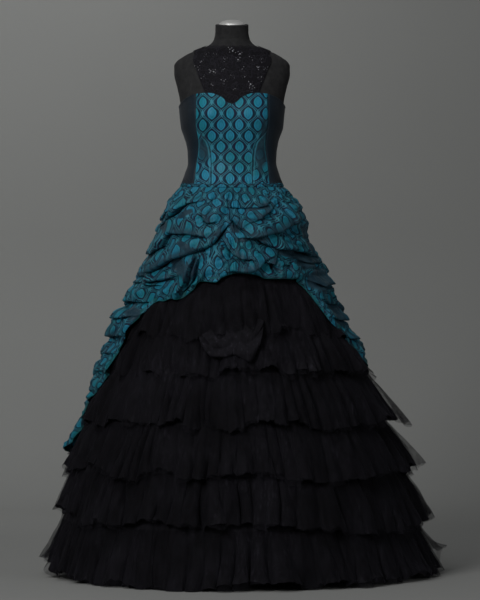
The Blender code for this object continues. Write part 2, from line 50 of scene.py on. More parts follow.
# Height, half width, half depth and centre y, from the hip to the top of the neck
FORM_SECTIONS = np.array((
    (0.860, 0.1680, 0.128, 0.006), (0.900, 0.1730, 0.134, 0.006), (0.950, 0.1660, 0.128, 0.005),
    (1.000, 0.1500, 0.116, 0.003), (1.048, 0.1315, 0.103, 0.001), (1.075, 0.1225, 0.095, 0.000),
    (1.104, 0.1155, 0.090, 0.000), (1.134, 0.1155, 0.093, 0.000), (1.156, 0.1190, 0.097, 0.000),
    (1.177, 0.1265, 0.101, 0.000), (1.199, 0.1340, 0.105, 0.001), (1.234, 0.1385, 0.109, 0.002),
    (1.264, 0.1400, 0.107, 0.004), (1.307, 0.1480, 0.099, 0.007), (1.345, 0.1565, 0.085, 0.010),
    (1.366, 0.1565, 0.076, 0.011), (1.378, 0.1500, 0.070, 0.010), (1.389, 0.1350, 0.065, 0.008),
    (1.400, 0.1150, 0.061, 0.005), (1.410, 0.0870, 0.058, 0.002), (1.420, 0.0640, 0.054, 0.000),
    (1.434, 0.0500, 0.050, -0.004), (1.455, 0.0450, 0.047, -0.009), (1.476, 0.0446, 0.046, -0.014),
))
FORM_FOOT, NECK_SEAM, NECK_TOP = 0.860, 1.436, 1.476
NECK_TILT, NECK_TILT_START = 0.16, 1.425
BUST_HEIGHT, BUST_APART, BUST_FULLNESS, BUST_SPREAD = 1.228, 0.066, 0.018, (0.042, 0.045)
CAP_RADIUS, CAP_HEIGHT = 0.0355, 0.0165
FORM_GAP, BODICE_CLOTH = 0.0022, 0.0024

pole_low, pole_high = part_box("form_pole")
AXIS = np.array(((pole_low.x + pole_high.x) / 2, (pole_low.y + pole_high.y) / 2, 0.0))


def smooth_curve(table, column, at):
    """Reads a column of a table at new places along its first column, on a curve that never overshoots."""
    order = np.argsort(table[:, 0])
    known, value = table[order, 0], table[order, column]
    step = np.diff(known)
    slope = np.diff(value) / step
    tangent = np.zeros(len(known))
    tangent[0], tangent[-1] = slope[0], slope[-1]
    rising = slope[:-1] * slope[1:] > 0
    weight_a = 2 * step[1:] + step[:-1]
    weight_b = step[1:] + 2 * step[:-1]
    safe_a = np.where(rising, slope[:-1], 1.0)
    safe_b = np.where(rising, slope[1:], 1.0)
    mean = (weight_a + weight_b) / (weight_a / safe_a + weight_b / safe_b)
    tangent[1:-1] = np.where(rising, mean, 0.0)
    at = np.clip(at, known[0], known[-1])
    spot = np.clip(np.searchsorted(known, at) - 1, 0, len(step) - 1)
    share = (at - known[spot]) / step[spot]
    start = value[spot] + share**2 * (3 - 2 * share) * (value[spot + 1] - value[spot])
    lean = share * (1 - share) ** 2 * tangent[spot] - share**2 * (1 - share) * tangent[spot + 1]
    return start + step[spot] * lean


def form_point(angle, height):
    """Points on the dress form, which leans forward at the neck. The angle runs from the front towards +X."""
    width = smooth_curve(FORM_SECTIONS, 1, height)
    depth = smooth_curve(FORM_SECTIONS, 2, height)
    centre = smooth_curve(FORM_SECTIONS, 3, height)
    x = width * np.sin(angle)
    across, up = BUST_SPREAD
    bust = np.exp(-(((np.abs(x) - BUST_APART) / across) ** 2) - ((height - BUST_HEIGHT) / up) ** 2)
    reach = depth * np.cos(angle) + BUST_FULLNESS * bust * np.clip(np.cos(angle) * 2, 0, 1)
    lean = NECK_TILT * np.clip((height - NECK_TILT_START) / (NECK_TOP - NECK_TILT_START), 0, 1)
    return np.stack([x, centre - reach, height - lean * reach], axis=-1)


def off_form(angle, height, gap):
    """Points above the form's surface by the gap, measured square to it."""
    small = 1e-4
    round_way = form_point(angle + small, height) - form_point(angle - small, height)
    up_way = form_point(angle, height + small) - form_point(angle, height - small)
    out = np.cross(round_way, up_way)
    out = out / np.linalg.norm(out, axis=-1, keepdims=True)
    return form_point(angle, height) + np.asarray(gap)[..., None] * out


def round_angles(count):
    return np.arange(count) * 2 * math.pi / count - math.pi


def rounded_step(value, low, high):
    share = np.clip((value - low) / (high - low), 0, 1)
    return share**2 * (3 - 2 * share)


def soft_noise(u, v, seed, around=64):
    """Smooth random hills from -1 to 1, one to each unit of u and v, which close up after `around` of u."""
    table = np.random.default_rng(seed).uniform(-1, 1, (around, 64))
    low_u, low_v = np.floor(u).astype(int), np.floor(v).astype(int)
    share_u, share_v = rounded_step(u - low_u, 0, 1), rounded_step(v - low_v, 0, 1)
    here, beside = low_u % around, (low_u + 1) % around
    row, below = low_v % 64, (low_v + 1) % 64
    first = table[here, row] * (1 - share_u) + table[beside, row] * share_u
    second = table[here, below] * (1 - share_u) + table[beside, below] * share_u
    return first * (1 - share_v) + second * share_v


def mesh_piece(name, points, faces, finish, slot):
    """A piece of the object from points about the form's axis. It rides on the one body."""
    mesh = bpy.data.meshes.new(name)
    faces = np.asarray(faces, np.int32)
    corners = faces.shape[1]
    mesh.vertices.add(len(points))
    mesh.vertices.foreach_set("co", (points + AXIS).astype(np.float32).ravel())
    mesh.loops.add(faces.size)
    mesh.loops.foreach_set("vertex_index", faces.ravel())
    mesh.polygons.add(len(faces))
    mesh.polygons.foreach_set("loop_start", np.arange(0, faces.size, corners, dtype=np.int32))
    mesh.update(calc_edges=True)
    mesh.shade_smooth()
    mesh.materials.append(finish)
    piece = bpy.data.objects.new(name, mesh)
    bpy.context.scene.collection.objects.link(piece)
    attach(piece, "root")
    return piece


def grid_faces(rows, columns, closed):
    """Four-cornered faces over a grid whose rows run down and whose columns run round towards +X."""
    index = np.arange(rows * columns).reshape(rows, columns)
    after = np.roll(index, -1, axis=1)
    if not closed:
        index, after = index[:, :-1], after[:, :-1]
    return np.stack([index[:-1], index[1:], after[1:], after[:-1]], axis=-1).reshape(-1, 4)


def grid_piece(name, grid, closed, finish, slot, cloth=None, marks=None):
    """A piece over a grid of points. `cloth` holds each point's place on the flat cloth, for the pattern."""
    rows, columns = grid.shape[:2]
    faces = grid_faces(rows, columns, closed)
    piece = mesh_piece(name, grid.reshape(-1, 3), faces, finish, slot)
    if cloth is not None:
        chart = piece.data.uv_layers.new(name="cloth")
        chart.data.foreach_set("uv", cloth.reshape(-1, 2)[faces.ravel()].astype(np.float32).ravel())
    for mark, values in (marks or {}).items():
        kept = piece.data.attributes.new(mark, "FLOAT", "POINT")
        kept.data.foreach_set("value", values.astype(np.float32).ravel())
    return piece


class Paint:
    """A socket of a material's nodes. Arithmetic on it adds Math nodes, and node() adds any other kind."""

    def __init__(self, socket):
        self.socket = socket

    def node(self, kind, inputs=(), out=0, **settings):
        made = self.socket.id_data.nodes.new("ShaderNode" + kind)
        for name, value in settings.items():
            setattr(made, name, value)
        for place, value in dict(inputs).items():
            self.feed(made, place, value)
        return Paint(made.outputs[out])

    def feed(self, made, place, value):
        if isinstance(value, Paint):
            self.socket.id_data.links.new(value.socket, made.inputs[place])
        elif made.inputs[place].type == "RGBA":
            made.inputs[place].default_value = (*value, 1.0)
        else:
            made.inputs[place].default_value = value

    def set(self, **inputs):
        """Feeds the shader that this socket leaves."""
        for place, value in inputs.items():
            self.feed(self.socket.node, place.replace("_", " "), value)

    def math(self, operation, *values):
        return self.node("Math", dict(enumerate(values)), operation=operation)

    def __add__(self, other):
        return self.math("ADD", self, other)

    def __sub__(self, other):
        return self.math("SUBTRACT", self, other)

    def __rsub__(self, other):
        return self.math("SUBTRACT", other, self)

    def __mul__(self, other):
        return self.math("MULTIPLY", self, other)

    __radd__, __rmul__ = __add__, __mul__

    def __truediv__(self, other):
        return self.math("DIVIDE", self, other)

    def __pow__(self, other):
        return self.math("POWER", self, other)

    def __abs__(self):
        return self.math("ABSOLUTE", self)

    def least(self, other):
        return self.math("MINIMUM", self, other)

    def most(self, other):
        return self.math("MAXIMUM", self, other)

    def sine(self):
        return self.math("SINE", self)

    def fract(self):
        return self.math("FRACT", self)

    def ramp(self, low, high):
        """0 below the first number and 1 above the second, or the other way round, with soft ends."""
        inputs = {"Value": self, "From Min": low, "From Max": high}
        return self.node("MapRange", inputs, interpolation_type="SMOOTHSTEP")

    def mix(self, first, second):
        """The second colour where this mask is 1, and the first where it is 0."""
        return self.node("Mix", {0: self, 6: first, 7: second}, out=2, data_type="RGBA")

    def at_object(self):
        return self.node("TexCoord", out="Object")

    def mark(self, name):
        """What a point attribute of the piece holds."""
        return self.node("Attribute", out="Fac", attribute_name=name)

    def stretched(self, x, y, z):
        return self.node("VectorMath", {0: self, 1: (x, y, z)}, operation="MULTIPLY")

    def noise(self, where, scale, detail=2.0, roughness=0.5):
        inputs = {"Vector": where, "Scale": scale, "Detail": detail, "Roughness": roughness}
        return self.node("TexNoise", inputs)

    def bump(self, height, distance, strength=1.0, over=None):
        inputs = {"Height": height, "Distance": distance, "Strength": strength}
        if over is not None:
            inputs["Normal"] = over
        return self.node("Bump", inputs)


def finish(name, **numbers):
    """A new material with its plain numbers set, and its shader as Paint."""
    made = bpy.data.materials.new(name)
    made.use_nodes = True
    shader = made.node_tree.nodes["Principled BSDF"]
    surface = Paint(shader.outputs[0])
    surface.set(**numbers)
    return made, surface


# Jersey: fine ribs that run up and down, a little lint, and no shine
jersey, cover = finish("form_jersey", Roughness=0.92, Sheen_Weight=0.05, Sheen_Roughness=0.5,
                       Sheen_Tint=(0.55, 0.56, 0.60), Specular_IOR_Level=0.20)
where = cover.at_object()
ribs = cover.noise(where.stretched(1.0, 1.0, 0.12), 1900.0)
lint = cover.noise(where, 60.0, 4.0, 0.65)
faded = (lint * 0.7 + ribs * 0.3).ramp(0.30, 0.75)
cover.set(Base_Color=faded.mix((0.0185, 0.0185, 0.0195), (0.0380, 0.0380, 0.0390)))
cover.set(Normal=cover.bump(ribs * 0.8 + lint * 0.2, 0.0004, 0.6))

torso_height = np.concatenate([np.linspace(NECK_TOP, 1.34, 60), np.linspace(1.338, FORM_FOOT, 70)])[:, None]
turn = round_angles(180)[None, :] + 0 * torso_height
raised = 0 * turn
for seam in (-math.pi / 2, math.pi / 2):
    away = np.abs(turn - seam) * smooth_curve(FORM_SECTIONS, 1, torso_height)
    raised -= 0.0009 * np.exp(-((away / 0.0016) ** 2))
raised -= 0.0008 * np.exp(-(((torso_height - NECK_SEAM) / 0.0014) ** 2))
raised += 0.0004 * soft_noise(turn * 6 / math.pi, torso_height * 18, 3, 12)
torso_grid = off_form(turn, torso_height + 0 * turn, raised)
crown, foot = torso_grid[0].mean(axis=0), torso_grid[-1].mean(axis=0)
torso_grid = np.concatenate([
    [crown + (torso_grid[0] - crown) * share for share in (0.02, 0.5, 0.94)],
    torso_grid,
    [foot + (torso_grid[-1] - foot) * share for share in (0.97, 0.5, 0.02)],
])
torso = grid_piece("torso_cover", torso_grid, True, jersey, "form_cloth")
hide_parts("form_torso")

# Cap: a spun disc with a rounded edge and a shallow dome, finely brushed
silver, metal = finish("cap_silver", Metallic=0.45, Anisotropic=0.4, Coat_Weight=0.3)
where = metal.at_object()
brushed = metal.noise(where.stretched(1.0, 1.0, 14.0), 260.0, 3.0)
metal.set(Base_Color=brushed.mix((0.78, 0.78, 0.76), (0.92, 0.92, 0.90)))
metal.set(Roughness=brushed * 0.14 + 0.24)
metal.set(Normal=metal.bump(brushed, 0.0001, 0.4))
cap_angle = round_angles(96)
neck = form_point(cap_angle, np.full(96, NECK_TOP))
middle = neck.mean(axis=0)
seat = middle + (neck - middle) * CAP_RADIUS / FORM_SECTIONS[-1, 1]
cap_rows = []
out_from_middle = np.sin(np.linspace(0.02, 1, 18) * math.pi / 2)
dome = [(share, CAP_HEIGHT * (math.sqrt(1 - share**2 * 0.96) - 0.2)) for share in out_from_middle]
rim = [(1.008, 0.0024), (1.012, 0.0016), (1.008, 0.0008), (0.99, 0.0004), (0.6, 0.0004)]
for share, rise in dome + rim:
    cap_rows.append(middle + (seat - middle) * share + (0, 0, rise))
cap = grid_piece("neck_cap", np.array(cap_rows), True, silver, "cap_metal")
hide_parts("form_neck_cap")

# Pole and base keep their turned shape, under black paint with a faint orange peel
painted, paint = finish("stand_paint", Coat_Weight=0.3, Coat_Roughness=0.2)
where = paint.at_object()
peel = paint.noise(where, 700.0)
wear_and_sheen = paint.noise(where, 35.0, 4.0, 0.7)
paint.set(Base_Color=wear_and_sheen.ramp(0.45, 0.75).mix((0.014, 0.014, 0.015), (0.030, 0.030, 0.032)))
paint.set(Roughness=wear_and_sheen * 0.25 + 0.28, Normal=paint.bump(peel, 0.00015, 0.5))
for node in ("form_pole", "form_base"):
    kept_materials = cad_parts[node].data.materials
    kept_materials.clear()
    kept_materials.append(painted)


# The plain underskirt is a flared skirt of black lining, gathered a little into the waist seam. It carries
# the tiers, which are sewn to it in rows, and stays a little inside them.

# Height, and reach to the left, right, front and back
SKIRT_SECTIONS = np.array((
    (0.98, 0.163, 0.163, 0.150, 0.152), (0.84, 0.214, 0.214, 0.214, 0.222),
    (0.68, 0.282, 0.282, 0.282, 0.290), (0.58, 0.318, 0.322, 0.322, 0.326),
    (0.45, 0.362, 0.374, 0.370, 0.370), (0.32, 0.402, 0.424, 0.414, 0.414),
    (0.19, 0.436, 0.468, 0.452, 0.452), (0.03, 0.466, 0.510, 0.490, 0.490),
))
SKIRT_HEM_HEIGHT = SKIRT_SECTIONS[-1, 0]
WAIST_SEAM_SIDE, WAIST_SEAM_DIP, WAIST_BAND_HEIGHT = 1.0475, 0.0055, 0.009


def quarter_reach(angle, left, right, front, back):
    """Reach from the axis of a section made of four quarter ellipses."""
    side = np.where(np.sin(angle) >= 0, right, left)
    depth = np.where(np.cos(angle) >= 0, front, back)
    return 1 / np.sqrt((np.sin(angle) / side) ** 2 + (np.cos(angle) / depth) ** 2)


def table_reach(table, angle, height):
    return quarter_reach(angle, *(smooth_curve(table, column, height) for column in (1, 2, 3, 4)))


def at_reach(angle, reach, height):
    return np.stack([reach * np.sin(angle), -reach * np.cos(angle), height + 0 * angle], axis=-1)


def form_reach(angle, height, gap):
    point = off_form(angle, height, np.full_like(angle, gap))
    return np.hypot(point[..., 0], point[..., 1])


def waist_seam(angle):
    return WAIST_SEAM_SIDE - WAIST_SEAM_DIP * np.clip(np.cos(angle), 0, 1) ** 2


def band_foot(angle):
    return waist_seam(angle) - WAIST_BAND_HEIGHT


lining, lined = finish("skirt_lining", Roughness=0.72, Sheen_Weight=0.15)
where = lined.at_object()
warp = lined.noise(where.stretched(1.0, 1.0, 0.08), 1500.0)
weft = lined.noise(where.stretched(0.08, 0.08, 1.0), 1500.0)
soft = lined.noise(where, 9.0, 3.0)
lined.set(Base_Color=soft.mix((0.008, 0.008, 0.010), (0.016, 0.016, 0.019)))
lined.set(Normal=lined.bump(warp * 0.5 + weft * 0.5, 0.0003, 0.5))

skirt_angle = round_angles(352)[None, :]
skirt_down = np.linspace(0, 1, 44)[:, None]
skirt_height = (band_foot(skirt_angle) - 0.001) * (1 - skirt_down) + SKIRT_HEM_HEIGHT * skirt_down
turn = skirt_angle + 0 * skirt_down
start = form_reach(turn, skirt_height, FORM_GAP + 0.002)
join = rounded_step(skirt_height, 0.975, 1.03)
skirt_reach = np.maximum(table_reach(SKIRT_SECTIONS, turn, skirt_height) * (1 - join) + start * join, start)
skirt_reach -= 0.002 + 0.0015 * skirt_down * (1 - np.cos(44 * turn + 2 * np.sin(3 * turn)))
skirt_reach -= 0.018 * rounded_step(skirt_height, 0.62, 0.74) * (1 - rounded_step(skirt_height, 0.96, 1.02))
underskirt = grid_piece("underskirt", at_reach(turn, skirt_reach, skirt_height), True, lining, "skirt_lining")
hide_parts("skirt_base")


# The tulle skirt has six tiers. Each is a long strip of black tulle, gathered at its top onto the underskirt,
# cut raw at its hem, and partly covered by the tier above. A looser sheer layer lies over each.

# Top, hem, reach of the hem to the left, right, front and back, number of deep gathers, and their depth
TIERS = (
    (0.84, 0.640, 0.320, 0.322, 0.322, 0.330, 16, 0.006),
    (0.68, 0.545, 0.353, 0.372, 0.370, 0.374, 20, 0.007),
    (0.58, 0.415, 0.402, 0.436, 0.420, 0.420, 24, 0.008),
    (0.45, 0.285, 0.442, 0.488, 0.462, 0.462, 25, 0.009),
    (0.32, 0.155, 0.461, 0.518, 0.498, 0.498, 26, 0.010),
    (0.19, 0.001, 0.484, 0.543, 0.528, 0.528, 28, 0.010),
)
GATHERED_SHARE, GATHER_DRIFT, GATHER_UNEVEN = 0.12, (0.045, 0.025), 0.22
# How far each hem settles in towards the tier below, and how much higher it ends on the right than in front
SETTLE = (0.011, 0.010, 0.008, 0.006, 0.006, 0.000)
HEM_TILT = (0.006, -0.006, 0.005, -0.004, -0.010, 0.000)
# Where the lowest hem is lifted off the floor: degrees round, and rise
HEM_RISES = ((-72, 0.026), (70, 0.010))
TULLE_CLOTH = 0.0020


def tier_reach(tier, angle, height):
    """Reach of a tier's middle line, from its gathered top to its hem."""
    top, hem, *hem_reach = tier[:6]
    seat = table_reach(SKIRT_SECTIONS, angle, np.full_like(angle, top)) + 0.0003
    share = np.clip((top - height) / (top - hem), 0, 1)
    start = seat + tier[7] * GATHERED_SHARE
    return start + (quarter_reach(angle, *hem_reach) - start) * share


def ridge(phase):
    """A wave with round crests and narrow, deep valleys, from about -1.0 to 0.75."""
    return 2 * np.sqrt(np.cos(phase / 2) ** 2 * 0.985 + 0.015) - 1.25


def crest(phase):
    """The same turned over: narrow crests and wide, round valleys, from about -0.75 to 1.0."""
    return -ridge(phase + math.pi)


# Places where the loose layer flicks out: tier, degrees round, width in degrees, then out and up in mm
FLICKS = (
    (3, 86, 6, 46, -12), (3, -112, 8, 18, 4), (4, 92, 7, 26, 6), (4, 150, 9, 20, 8), (4, -128, 9, 16, 6),
    (5, 88, 6, 14, 12), (5, -92, 9, -8, 6), (5, -150, 9, 22, 12), (6, 97, 8, 25, 56), (6, -84, 11, 22, 24),
    (6, 62, 6, 16, 14), (6, -52, 7, 14, 12), (6, 160, 9, 12, 16), (2, 96, 8, 26, -12),
)
# Angle round the dress in degrees, and height of the overskirt's lower edge, which presses the tulle flat
OVERSKIRT_HEM = np.array((
    (-180, 0.305), (-125, 0.300), (-100, 0.330), (-88, 0.450), (-80, 0.475), (-69, 0.548), (-60, 0.645),
    (-44, 0.733), (-31, 0.737), (-24, 0.755), (-18, 0.783), (-9, 0.781), (-5, 0.795), (4, 0.805), (14, 0.801),
    (21, 0.791), (40, 0.789), (48, 0.764), (55, 0.710), (60, 0.668), (67, 0.649), (73, 0.616), (78, 0.578),
    (90, 0.560), (105, 0.548), (125, 0.500), (152, 0.360), (180, 0.305),
))


def tulle_envelope(angle, height, look):
    """The furthest that any tier reaches at this place, counting a hem that lies within `look` of it."""
    furthest = np.zeros_like(angle)
    for tier in TIERS:
        reach = tier_reach(tier, angle, height)
        by_hem = np.abs(height - tier[1]) < look
        there = by_hem | ((height <= tier[0]) & (height >= tier[1]))
        reach = np.where(by_hem, quarter_reach(angle, *tier[2:6]), reach)
        furthest = np.maximum(furthest, np.where(there, reach + tier[7] + TULLE_CLOTH, 0))
    return furthest


def tier_surface(number, tier, columns, rows, loose=0.0, first=0.0):
    """Points of a tier. A loose layer starts lower, stands off more, and ends at its own uneven hem."""
    even = round_angles(columns)[None, :]
    slow, quick = GATHER_DRIFT
    angle = even + slow * np.sin(3 * even + number) + quick * np.sin(7 * even + 2 * number)
    depth = 1 - GATHER_UNEVEN + GATHER_UNEVEN * np.sin(5 * even + 3 * number)
    share = (first + (1 - first) * np.linspace(0, 1, rows))[:, None]
    top, hem = tier[:2]
    height = top + (hem - top) * share
    turn = angle + 0 * share
    middle_line = tier_reach(tier, turn, height + 0 * turn)
    reach = middle_line + 0.0035 * np.sin(math.pi * share) + TULLE_CLOTH
    gathered = GATHERED_SHARE + (1 - GATHERED_SHARE) * share
    reach += tier[7] * gathered * np.cos(tier[6] * even) * depth
    # Middling and fine pleats, which wander as they fall
    lying = even * 180 / (2 * math.pi)
    drift = 2.2 * np.sin(5 * even + number) + 1.3 * np.sin(13 * even + 2 * number)
    middling = round(2.6 * tier[6]) * even + drift + share * 2.2 * np.sin(9 * even + 3 * number + 2.0 * share)
    fine = round(5.7 * tier[6]) * even + 2 * drift + share * 3.2 * np.sin(17 * even + number)
    uneven = np.clip(0.55 + 1.1 * soft_noise(lying / 2, 2 * share + number, 11 + number, 90), 0.05, 1.3)
    finely = np.clip(0.4 + soft_noise(lying / 3, 3 * share, 21 + number, 60), 0, 1)
    folded = crest(middling) if number < 5 else 1.25 * ridge(middling)
    reach += (0.0010 + 0.0115 * share) * folded * uneven - SETTLE[number - 1] * share**3
    reach += (0.0012 + 0.0010 * share) * crest(fine) * finely
    reach += 0.0012 * soft_noise(lying * 2, 9 * share, 31 + number, 360)
    reach += 0.0115 * share**1.5 * soft_noise(lying / 3, 0.7 * share + number, 151 + number, 60)
    sway = 0.006 * share * np.sin(middling) + 0.0015 * np.sin(fine)
    if loose:
        other = round(3.3 * tier[6]) * even + 1.7 * drift + 2 + share * 2.0 * np.sin(7 * even - number)
        reach += loose * share**0.7 * (1.1 + 0.55 * crest(other)) + 0.0010
    # The hem is cut raw and hangs unevenly, and a loose layer flicks out in places
    level_line = 0 * lying
    ragged = HEM_TILT[number - 1] * np.sin(even) + 0.0026 * crest(middling[-1:])
    ragged += 0.0060 * np.tanh(3 * soft_noise(lying / 3, level_line, 41 + number, 60))
    ragged += 0.0052 * soft_noise(lying, level_line, 51 + number, 180)
    ragged += 0.0030 * soft_noise(lying * 4, level_line, 71, 720)
    ragged += 0.0190 * soft_noise(lying / 6, level_line, 91 + number, 30)
    if loose:
        ragged += 0.011 * soft_noise(lying / 2, level_line, 121 + number, 90) - 0.006
    if number == 6:
        ragged += 0.010 * np.abs(soft_noise(lying, level_line, 141, 180))
        for degrees, rise in HEM_RISES:
            ragged += rise * np.exp(-(((np.degrees(even) - degrees) / 15) ** 2))
    level = height + ragged * share**3
    for tier_number, degrees, width, out, up in FLICKS:
        if loose and tier_number == number:
            there = np.exp(-(((np.degrees(turn) - degrees) / width) ** 4)) * share**2 * (1.45 - 0.6 * share)
            reach += out / 1000 * there
            level += up / 1000 * there * share
    # Under the overskirt the tulle lies flat
    above_hem = height - smooth_curve(OVERSKIRT_HEM, 1, (np.degrees(turn) + 180) % 360 - 180)
    flattened = 0.008 * (1 - share) + 0.010 * rounded_step(above_hem, 0.005, 0.045)
    pressed = np.minimum(reach, middle_line + 0.002 - flattened)
    reach += (pressed - reach) * rounded_step(above_hem, -0.020, 0.004)
    lowest = 0.0012 if hem < 0.01 else hem - 0.03
    return turn + sway / 0.4, reach, np.maximum(level, lowest + 0.0010 * (1 - share))


def tulle_finish(name, dark, lit, clear=None):
    """Black tulle, a fine net that catches light in streaks. `clear`: a sheer layer's least and most cover."""
    made, net = finish(name, Roughness=0.85, Sheen_Weight=0.05, Sheen_Roughness=0.40,
                       Sheen_Tint=(0.62, 0.60, 0.78), Specular_IOR_Level=0.12)
    where = net.at_object()
    mesh = net.node("TexVoronoi", {"Vector": where, "Scale": 620.0}, feature="DISTANCE_TO_EDGE")
    cloud = net.noise(where, 7.0, 3.0, 0.6)
    streaks = net.noise(where.stretched(1.0, 1.0, 0.10), 90.0, 3.0, 0.6)
    tone = (cloud * 0.5 + streaks * 0.5).ramp(0.34, 0.68)
    # Painted highlights: thin light streaks, glints along the net's folds
    painted_glints = net.noise(where.stretched(1.0, 1.0, 0.09), 150.0).ramp(0.60, 0.68) * cloud.ramp(0.42, 0.60)
    net.set(Base_Color=(painted_glints * 0.8).mix(tone.mix(dark, lit), tuple(2.3 * part for part in lit)))
    net.set(Normal=net.bump(mesh.least(0.2) + streaks * 0.6, 0.0006, 0.55))
    if clear is not None:
        net.set(Alpha=(streaks * 0.7 + cloud * 0.3).ramp(0.25, 0.75) * (clear[1] - clear[0]) + clear[0])
    return made


tulle = tulle_finish("black_tulle", (0.0042, 0.0039, 0.0052), (0.0120, 0.0112, 0.0150))
sheer = tulle_finish("sheer_tulle", (0.0045, 0.0042, 0.0056), (0.0130, 0.0122, 0.0165), clear=(0.26, 0.52))
CUT_LENGTHS = (1.95, 2.35, 2.70, 3.00, 3.25, 3.45)
for number, (tier, length) in enumerate(zip(TIERS, CUT_LENGTHS), 1):
    deep = tier_surface(number, tier, 36 * tier[6], 26)
    piece = grid_piece(f"tier_{number}", at_reach(*deep), True, tulle, "tulle")
    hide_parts(f"tulle_tier_{number}")
    over = tier_surface(number, tier, 24 * tier[6], 18, loose=0.0048, first=0.22)
    veil = grid_piece(f"sheer_layer_{number}", at_reach(*over), True, sheer, "tulle")


# A short length of the same tulle is ruched across the centre front, over the hem of the first tier. It is
# caught up at both ends, so that it falls in soft folds like a small swag.
PUFF_SPAN, PUFF_ROWS, PUFF_TAIL_ROWS = 15.5, 70, 7
# Share of the way across, and the heights of the swag's upper and lower edges there
SWAG_EDGES = np.array((
    (-1.00, 0.656, 0.640), (-0.75, 0.660, 0.612), (-0.45, 0.664, 0.590), (-0.15, 0.666, 0.590),
    (0.05, 0.668, 0.596), (0.25, 0.672, 0.588), (0.48, 0.678, 0.578), (0.75, 0.686, 0.616),
    (1.00, 0.690, 0.674),
))
across = np.linspace(-1, 1, 140)[None, :]
down = np.linspace(0, 1, PUFF_ROWS)[:, None]
upper, lower = (smooth_curve(SWAG_EDGES, column, across) for column in (1, 2))
puff_height = upper + (lower - upper) * down
puff_seat = 0.326 + 0.42 * (0.660 - puff_height) - 0.030 * (1 - down) ** 2 - 0.018 * np.abs(across) ** 8
bulge = np.sin(np.clip(down * 1.12, 0, 1) * math.pi / 2) ** 0.8
lobes = np.abs(np.sin((across - 0.05) * math.pi / 1.05)) ** 0.6
tucks = 0.0065 * ridge(2 * math.pi * (2.1 * down + 0.25 * np.sin(4 * across) + 0.15)) * lobes
pulls = 0.0030 * crest(19 * across + 2.5 * np.sin(5 * down)) * (0.5 + 0.5 * np.abs(across))
knot = 0.010 * np.exp(-(((across - 0.93) / 0.08) ** 2) - ((down - 0.4) / 0.5) ** 2)
puff_reach = puff_seat + 0.011 * bulge * (0.4 + 0.6 * lobes) + (tucks + pulls) * bulge + knot
puff_reach += 0.0012 * soft_noise(across * 20 + 40, down * 9, 5)
under = np.linspace(0, 1, PUFF_TAIL_ROWS + 1)[1:, None]
puff_reach = np.concatenate([puff_reach, puff_reach[-1:] - 0.012 * under])
puff_height = np.concatenate([puff_height, puff_height[-1:] - 0.004 * np.sin(under * math.pi)])
puff_grid = at_reach(math.radians(PUFF_SPAN) * across + 0 * puff_height, puff_reach, puff_height)
puff = grid_piece("ruched_swag", puff_grid, False, tulle, "tulle")
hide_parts("tulle_puff")


# The overskirt is changeable teal damask, cut in three panels and gathered into the waist. It is picked up
# by hand at the front and the sides, so that it lies in overlapping folds, and hangs longer at the back. Its
# edge is turned under.

# Height, and reach to the left, right, front and back
OVERSKIRT_SECTIONS = np.array((
    (1.015, 0.159, 0.162, 0.142, 0.150), (0.980, 0.178, 0.186, 0.178, 0.190),
    (0.945, 0.190, 0.200, 0.205, 0.222), (0.900, 0.202, 0.200, 0.228, 0.255),
    (0.860, 0.218, 0.212, 0.243, 0.280), (0.800, 0.252, 0.250, 0.266, 0.312),
    (0.740, 0.266, 0.267, 0.300, 0.335), (0.680, 0.313, 0.300, 0.325, 0.352),
    (0.620, 0.326, 0.339, 0.350, 0.375), (0.560, 0.357, 0.365, 0.374, 0.395),
    (0.450, 0.396, 0.412, 0.420, 0.437), (0.330, 0.466, 0.455, 0.460, 0.470),
))
WAIST_JOIN_HEIGHT = OVERSKIRT_SECTIONS[0, 0]
CAMERA_REACH, CAMERA_HEIGHT = 7.6, 0.734
# Each panel is cut on a curve: distance of the waist edge from the curve's middle, cloth for each metre of
# height, and the share of the angle round the dress that the cut takes
CUT_POINT, CUT_SLANT, CUT_SPREAD = 0.38, 1.12, 0.41
# Reach of the cloth behind the dress, where distances round it are measured
BACK_REACH = 0.34

